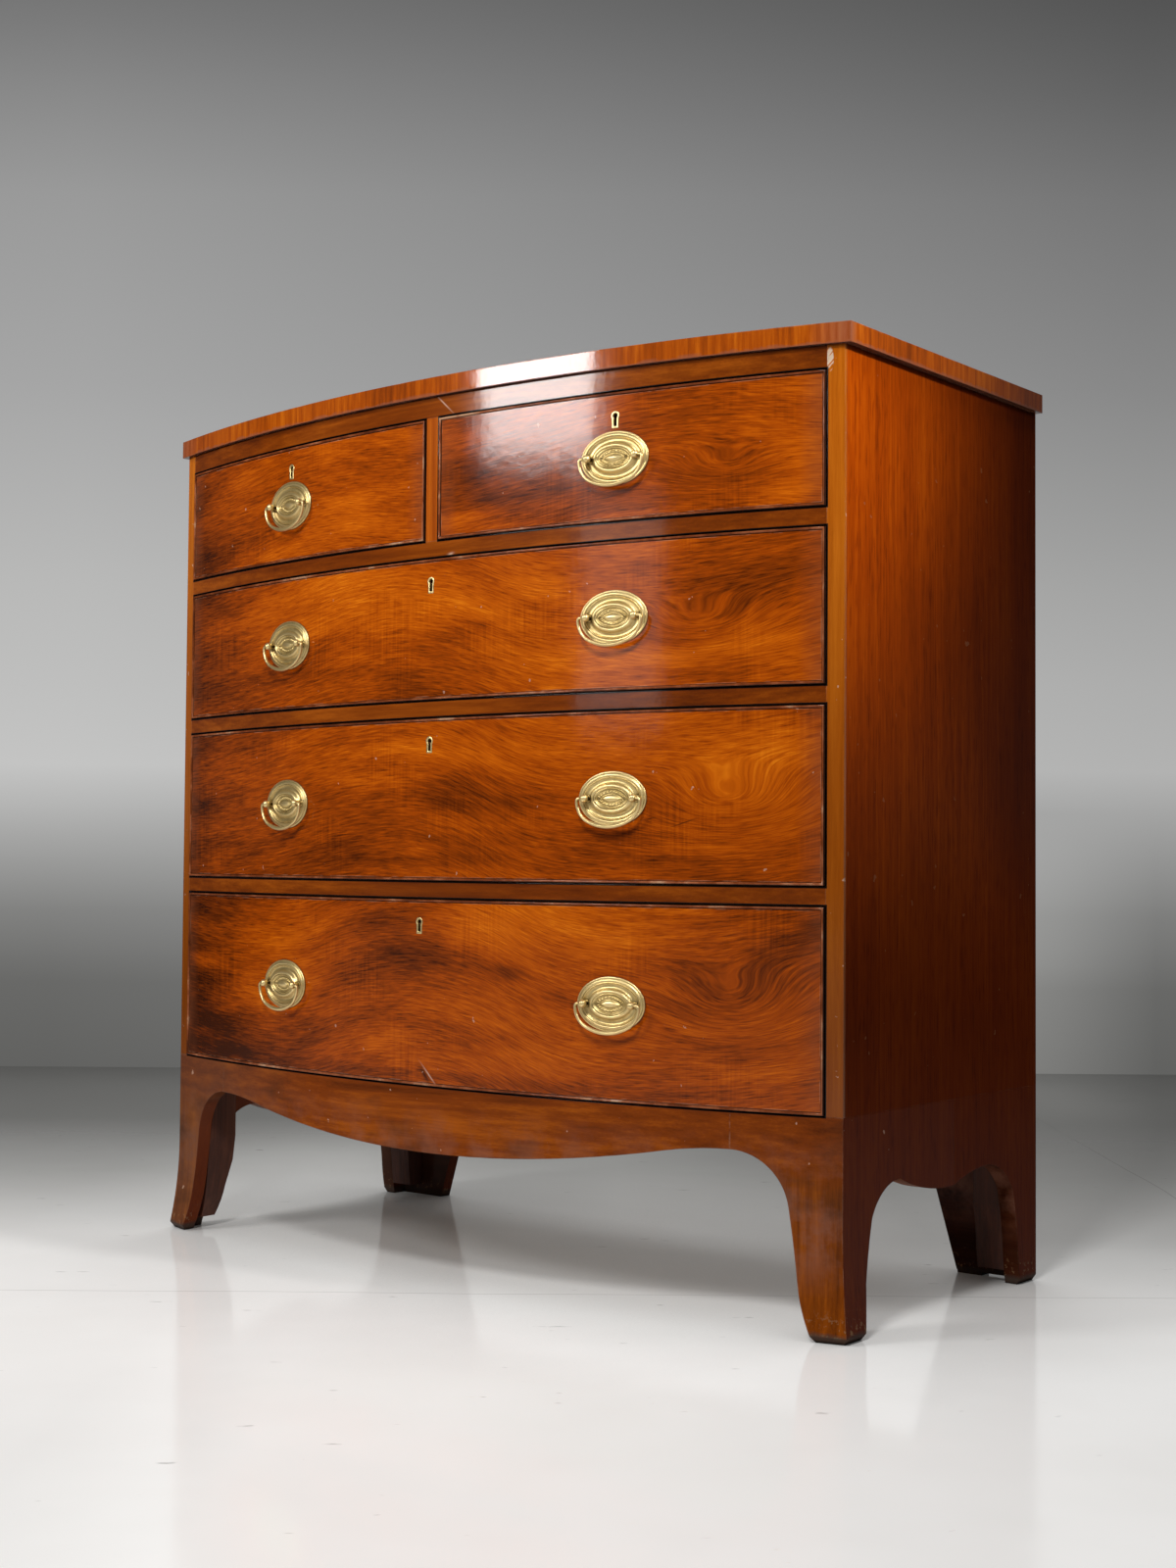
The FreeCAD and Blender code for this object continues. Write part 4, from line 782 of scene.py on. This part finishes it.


# The veneers: how their lines flow from end to end, and eyes, smoke and glow as (x, z, width, height, strength).
# Marks are (x, z, length, width, slope, colour).
# The broad smoke at x -0.50 is painted shade on the drawers' left ends.
VENEERS = {
    "left": dict(
        seed=1.0, flow=((0, 0.47), (0.15, 0.5), (0.3, 0.55), (0.5, 0.5), (1, 0.5)),
        smoke=((-0.36, 0.89, 0.13, 0.02, 0.12), (-0.50, 0.92, 0.09, 0.12, 0.18), (-0.20, 0.93, 0.10, 0.012, 0.10)),
        glow=((-0.13, 0.90, 0.12, 0.03, 0.08),)),
    "right": dict(
        seed=2.0, flow=((0, 0.5), (0.5, 0.45), (0.65, 0.5), (0.8, 0.56), (1, 0.5)),
        eyes=((0.378, 0.90, 0.06, 0.022, 0.026),),
        smoke=((0.063, 0.919, 0.045, 0.020, 0.22), (0.20, 0.868, 0.13, 0.008, 0.13),
               (0.462, 0.952, 0.03, 0.03, 0.06), (0.10, 0.888, 0.06, 0.010, 0.10)),
        glow=((0.39, 0.947, 0.08, 0.022, 0.05), (0.46, 0.905, 0.05, 0.035, 0.12),
              (0.05, 0.962, 0.05, 0.015, 0.10), (0.05, 0.872, 0.06, 0.012, 0.10))),
    "upper": dict(
        seed=3.0, flow=((0, 0.44), (0.2, 0.48), (0.42, 0.58), (0.5, 0.56), (0.72, 0.36), (1, 0.42)),
        eyes=((0.36, 0.735, 0.08, 0.03, 0.034),),
        smoke=((-0.50, 0.75, 0.13, 0.2, 0.28), (0.035, 0.742, 0.05, 0.018, 0.15), (0.15, 0.722, 0.04, 0.012, 0.13),
               (0.36, 0.685, 0.14, 0.010, 0.14), (-0.20, 0.71, 0.12, 0.010, 0.10), (0.36, 0.772, 0.06, 0.02, 0.08)),
        glow=((-0.12, 0.762, 0.12, 0.018, 0.12), (0.10, 0.78, 0.08, 0.02, 0.08),
              (-0.12, 0.725, 0.07, 0.012, 0.10), (0.42, 0.72, 0.08, 0.03, 0.20))),
    "middle": dict(
        seed=4.0, flow=((0, 0.44), (0.2, 0.50), (0.38, 0.60), (0.48, 0.60), (0.70, 0.35), (1, 0.42)),
        eyes=((0.395, 0.545, 0.09, 0.04, 0.052),),
        smoke=((-0.50, 0.55, 0.13, 0.2, 0.31), (0.045, 0.572, 0.06, 0.022, 0.17), (0.13, 0.55, 0.05, 0.014, 0.13),
               (-0.34, 0.622, 0.05, 0.015, 0.12), (0.28, 0.512, 0.12, 0.010, 0.12),
               (0.02, 0.485, 0.14, 0.010, 0.12)),
        glow=((-0.10, 0.612, 0.10, 0.014, 0.12), (0.09, 0.60, 0.06, 0.020, 0.12), (-0.12, 0.576, 0.06, 0.012, 0.12),
              (0.06, 0.525, 0.10, 0.012, 0.14), (0.42, 0.60, 0.06, 0.04, 0.13)),
        marks=((0.339, 0.5265, 0.014, 0.0007, 17, CRACK), (0.300, 0.531, 0.006, 0.0005, 10, CRACK))),
    "lower": dict(
        seed=6.0, flow=((0, 0.5), (0.25, 0.46), (0.42, 0.58), (0.52, 0.58), (0.75, 0.34), (1, 0.44)),
        eyes=((0.40, 0.335, 0.08, 0.04, 0.045),),
        smoke=((-0.50, 0.33, 0.14, 0.2, 0.40), (-0.30, 0.26, 0.22, 0.030, 0.14), (-0.03, 0.372, 0.05, 0.020, 0.14),
               (0.11, 0.29, 0.07, 0.012, 0.14), (0.125, 0.362, 0.03, 0.010, 0.14), (0.0, 0.238, 0.6, 0.010, 0.14),
               (0.22, 0.33, 0.10, 0.012, 0.10)),
        glow=((0.06, 0.405, 0.07, 0.020, 0.14), (-0.44, 0.355, 0.05, 0.010, 0.20), (-0.14, 0.39, 0.08, 0.015, 0.08),
              (0.03, 0.33, 0.06, 0.015, 0.10), (0.30, 0.40, 0.10, 0.015, 0.08), (0.44, 0.32, 0.07, 0.05, 0.13)),
        marks=((0.004, 0.241, 0.013, 0.0009, -45, PALE), (-0.002, 0.240, 0.012, 0.0030, -50, CRACK))),
}


def dress_fronts():
    for drawer, veneer in VENEERS.items():
        dress(flame(drawer, **veneer), f"{drawer}_drawer_front")


def make_pieces():
    brass = brass_paint()
    bead = bead_paint()
    for name, (left, right, low, high, handles, handle_z, key_x, key_z) in DRAWERS.items():
        body = f"{name}_drawer"
        cockbead = Shape()
        add_cockbead(cockbead, left, right, low, high)
        cockbead.piece(f"{name}_rounded_cockbead", bead, body, "mahogany_stile", f"{name}_drawer_cockbead")
        fixed = Shape()
        for x in handles:
            add_handle(fixed, x, handle_z)
        add_thread(fixed, key_x, key_z)
        fixed.piece(f"{name}_plates_and_posts", brass, body, "brass", f"{name}_drawer_fittings")
        for x in handles:
            end = "" if len(handles) == 1 else ("_left" if x < 0 else "_right")
            bail = Shape()
            add_bail(bail, on_bow(x, handle_z))
            bail.piece(f"{name}_bail{end}", brass, f"{body}_bail{end}_swing", "brass", f"{body}_bail{end}")


# Stage, lights and camera.

# The camera fitted to the photograph: its place, its angles, and its focal length in pixels.
CAMERA = Vector((1.63127, -1.98145, 0.48640))
AZIMUTH, TILT, ROLL = math.radians(38.83), math.radians(2.10), math.radians(0.42)
AWAY = Vector((-math.sin(AZIMUTH), math.cos(AZIMUTH), 0))
ACROSS = Vector((math.cos(AZIMUTH), math.sin(AZIMUTH), 0))
FOCAL, PHOTO_HEIGHT = 2116.44, 1600
SENSOR = 36
# How far the wall stands behind the camera's foot, and the greys along the floor and up the wall, which are painted
# light and shade: the floor darkening toward the back, the wall dark at its foot and toward its top.
WALL_AWAY = 4.82
FLOOR_FALLOFF_GREYS = ((0.0, (1, 1, 1)), (1.0, (0.15, 0.15, 0.146)), (0.2, (0.96, 0.96, 0.96)),
               (0.4, (0.55, 0.55, 0.545)), (0.65, (0.23, 0.23, 0.226)))
WALL_SHADE_GREYS = ((0.0, (0.13, 0.13, 0.125)), (1.0, (0.095, 0.095, 0.094)), (0.07, (0.15, 0.15, 0.145)),
              (0.13, (0.23, 0.23, 0.225)), (0.19, (0.37, 0.37, 0.365)), (0.25, (0.53, 0.53, 0.525)),
              (0.4, (0.46, 0.46, 0.455)), (0.57, (0.35, 0.35, 0.35)), (0.73, (0.29, 0.29, 0.29)),
              (0.87, (0.18, 0.18, 0.18)))
# The level direction toward the room that the front mirrors.
TO_ROOM = (-0.63, -0.78, 0.0)


def add_plane(name, corners, paint):
    mesh = bpy.data.meshes.new(name)
    mesh.from_pydata(corners, [], [(0, 1, 2, 3)])
    mesh.materials.append(paint)
    put_in_scene(name, mesh)


def along_view(paint, direction):
    """How far a place of the stage lies from the camera's foot in a level direction."""
    return paint.less(paint.dot(paint.place, tuple(direction)), CAMERA.dot(direction))


def floor_painted_light(paint, depth, aside):
    """Painted light and shade in the floor's glow: less under the chest and to both sides as painted shadow, more
    before its middle and in two lit patches behind it as painted pools of light.
    """
    # Painted shadow: less glow where the chest hems the floor in.
    shade = paint.openness(0.6)
    glow = paint.remap(shade, 0.25, 0.85, 0.04, 0.37)
    for far, beside, long, wide, strength in ((3.35, -0.42, 0.50, 0.16, 0.10), (4.3, 0.98, 0.5, 0.14, 0.12)):
        lit = paint.bell(paint.offset(depth, far, long), paint.offset(aside, beside, wide))
        glow = paint.times_plus(lit, paint.remap(shade, 0.25, 0.85, 0.0, strength / 0.35), glow)
    # Painted shadow behind the chest, toward its right.
    painted_shadow_behind = paint.times(paint.remap(aside, 0.05, 0.45), paint.remap(depth, 2.3, 2.7))
    glow = paint.times(glow, paint.remap(painted_shadow_behind, 0, 1, 1.0, 0.35))
    # Painted shade toward the left.
    glow = paint.times(glow, paint.remap(aside, -0.75, -0.30, 0.70, 1.0))
    # A painted pool of light before the chest's middle.
    middle = paint.times(paint.bell(paint.offset(aside, -0.05, 0.28)), paint.remap(depth, 2.95, 2.65))
    middle = paint.times(middle, paint.remap(depth, 1.55, 1.95))
    return paint.times(glow, paint.times_plus(middle, 0.30, 1.0))


def floor_paint():
    """White painted boards, with painted light and shade: a painted pool of light before the chest and painted grey
    shade behind it.
    """
    paint = Paint("pale_floor")
    depth, aside = along_view(paint, AWAY), along_view(paint, ACROSS)
    cloud = paint.noise(paint.place, 1.7, 4, 0.6)
    colour = paint.mix(paint.remap(cloud, 0.3, 0.7), (0.80, 0.79, 0.77), (0.87, 0.865, 0.85))
    colour = paint.mix(paint.times(paint.patches(160, 0.72, 0.76, 3, 0.7), 0.35), colour, (0.35, 0.33, 0.30))
    # Joints between the boards, a little crooked.
    bend = paint.times(paint.noise(paint.place, 2.5, 2), 0.02)
    for place, line in ((depth, 2.355), (aside, 0.872), (aside, -1.34)):
        gap = paint.size(paint.less(paint.sum(place, bend), line))
        colour = paint.mix(paint.remap(gap, 0.0016, 0.0004, 0.0, 0.5), colour, (0.30, 0.28, 0.26))
    scratch = paint.noise(paint.vector(paint.times(depth, 75), paint.times(aside, 16), 5.0), 1.0, 3, 0.6)
    colour = paint.mix(paint.remap(scratch, 0.70, 0.74, 0.0, 0.5), colour, (0.16, 0.14, 0.13))
    # Painted shade: the floor greys off toward the back.
    dim = paint.ramp(paint.remap(depth, 2.2, 4.8), FLOOR_FALLOFF_GREYS)
    colour = paint.mix(1.0, colour, dim, mode="MULTIPLY")
    # Painted shade: a little darker at the near left.
    painted_shade_near_left = paint.times(paint.remap(aside, -0.28, -0.45, 0.0, 0.11), paint.remap(depth, 2.75, 2.35))
    colour = paint.mix(painted_shade_near_left, colour, (0.0, 0.0, 0.0))
    smear = paint.noise(paint.place, 6, 5, 0.6)
    return paint.set(Base_Color=colour, Roughness=paint.remap(smear, 0.3, 0.7, 0.07, 0.15),
                     Specular_IOR_Level=0.3, Normal=paint.bump(smear, 0.03, 0.001), Emission_Color=colour,
                     Emission_Strength=paint.times(paint.seen_ray(), floor_painted_light(paint, depth, aside)))


def wall_paint():
    """A grey wall that the camera sees at its own brightness, with painted light and shade in its greys, and the
    lamps light as a dull one.
    """
    paint = Paint("grey_wall")
    place = along_view(paint, ACROSS)
    # Painted light and shade: higher up it is lighter at the left and darker at the right.
    left, right = paint.remap(paint.z, 0.9, 2.3, 1.04, 1.12), paint.remap(paint.z, 0.9, 2.3, 0.84, 0.56)
    side = paint.blend(paint.remap(place, -1.2, 1.3), left, right)
    # Low down it is lighter toward the right, up to a dim patch at each end: painted light and shade.
    lift = paint.less(paint.remap(place, -0.2, 1.1, 1.0, 2.1), paint.remap(place, 0.95, 1.32))
    lift = paint.less(lift, paint.times(paint.remap(place, -0.9, -1.25), 0.1))
    side = paint.times(side, paint.blend(paint.remap(paint.z, 0.25, 0.6, 1, 0), 1.0, lift))
    # Far to the left it is dark with painted shade, so that the polished left ends of the drawers mirror no grey
    # haze.
    side = paint.times(side, paint.remap(place, -1.6, -3.0, 1.0, 0.22))
    # Painted shade: dark at the wall's foot and toward its top.
    tone = paint.ramp(paint.remap(paint.z, 0.0, 2.8), WALL_SHADE_GREYS)
    tone = paint.mix(1.0, tone, paint.vector(side, side, side), mode="MULTIPLY")
    glow = paint.node("ShaderNodeEmission", {"Color": tone, "Strength": 1.0}).outputs[0]
    both = paint.node("ShaderNodeMixShader", {0: paint.seen_ray(), 1: paint.shader.outputs[0], 2: glow})
    behind = paint.node("ShaderNodeNewGeometry").outputs["Backfacing"]
    clear = paint.node("ShaderNodeBsdfTransparent").outputs[0]
    one_sided = paint.node("ShaderNodeMixShader", {0: behind, 1: both.outputs[0], 2: clear})
    paint.feed(paint.nodes["Material Output"].inputs["Surface"], one_sided.outputs[0])
    return paint.set(Base_Color=tone, Roughness=0.9)


def add_stage():
    add_plane("floor", [(-12, -12, 0), (12, -12, 0), (12, 12, 0), (-12, 12, 0)], floor_paint())
    foot = CAMERA + AWAY * WALL_AWAY
    foot.z = 0
    left, right = foot - ACROSS * 12, foot + ACROSS * 9
    up = Vector((0, 0, 4.5))
    add_plane("wall", [left, right, right + up, left + up], wall_paint())


def stand_lamp(name, lamp, place, target):
    holder = put_in_scene(name, lamp)
    holder.location = place
    holder.rotation_euler = (Vector(target) - Vector(place)).to_track_quat("-Z", "Y").to_euler()


def add_lamp(name, place, target, width, height, power):
    lamp = bpy.data.lights.new(name, "AREA")
    lamp.shape = "RECTANGLE"
    lamp.size, lamp.size_y = width, height
    lamp.energy = power
    stand_lamp(name, lamp, place, target)


def add_spot(name, place, target, angle, radius, power):
    lamp = bpy.data.lights.new(name, "SPOT")
    lamp.energy = power
    lamp.spot_size, lamp.spot_blend = math.radians(angle), 1.0
    lamp.shadow_soft_size = radius
    stand_lamp(name, lamp, place, target)


def add_lights():
    """A softbox that the front mirrors, one high in front, a spot on the side's top and a fill behind."""
    add_lamp("key_softbox", (-0.87, -1.96, 1.54), (0.2, -0.2, 0.7), 0.58, 0.42, 21)
    add_lamp("bounce_board", (-0.63, -2.45, 1.05), (0.2, -0.2, 0.7), 0.45, 0.5, 1.4)
    add_lamp("front_softbox", (1.0, -2.2, 2.6), (0.15, -0.2, 0.7), 0.5, 0.5, 48)
    add_lamp("rear_fill", (-0.9, 1.75, 2.9), (0.0, 0.2, 0.5), 1.0, 1.0, 12)
    add_spot("side_spot", (2.6, 0.15, 2.3), (0.51, -0.38, 1.10), 28, 0.12, 330)
    add_world()


def add_world():
    """A dim even light; seen past the wall it is grey, and darker toward the room that the front mirrors."""
    world = bpy.data.worlds.new("studio")
    tree = Tree(world)
    ahead = tree.dot(tree.node("ShaderNodeTexCoord").outputs["Generated"], TO_ROOM)
    tone = tree.times(tree.seen_ray(), tree.remap(ahead, -0.1, 0.6, 0.34, 0.06))
    background = tree.nodes["Background"].inputs
    tree.feed(background["Color"], (1.0, 1.0, 1.0))
    tree.feed(background["Strength"], tree.most(tone, 0.035))
    bpy.context.scene.world = world


def add_camera():
    lens = bpy.data.cameras.new("camera")
    lens.sensor_fit = "VERTICAL"
    lens.sensor_height = SENSOR
    lens.lens = SENSOR * FOCAL / PHOTO_HEIGHT
    camera = put_in_scene("camera", lens)
    ahead = AWAY * math.cos(TILT) + Vector((0, 0, math.sin(TILT)))
    up = ACROSS.cross(ahead)
    right = ACROSS * math.cos(ROLL) + up * math.sin(ROLL)
    up = up * math.cos(ROLL) - ACROSS * math.sin(ROLL)
    turn = Matrix((right, up, -ahead)).transposed().to_4x4()
    camera.matrix_world = Matrix.Translation(CAMERA) @ turn
    bpy.context.scene.camera = camera


dress_frame()
dress_fronts()
make_pieces()
add_stage()
add_lights()
add_camera()
bpy.context.scene.view_settings.view_transform = "Standard"
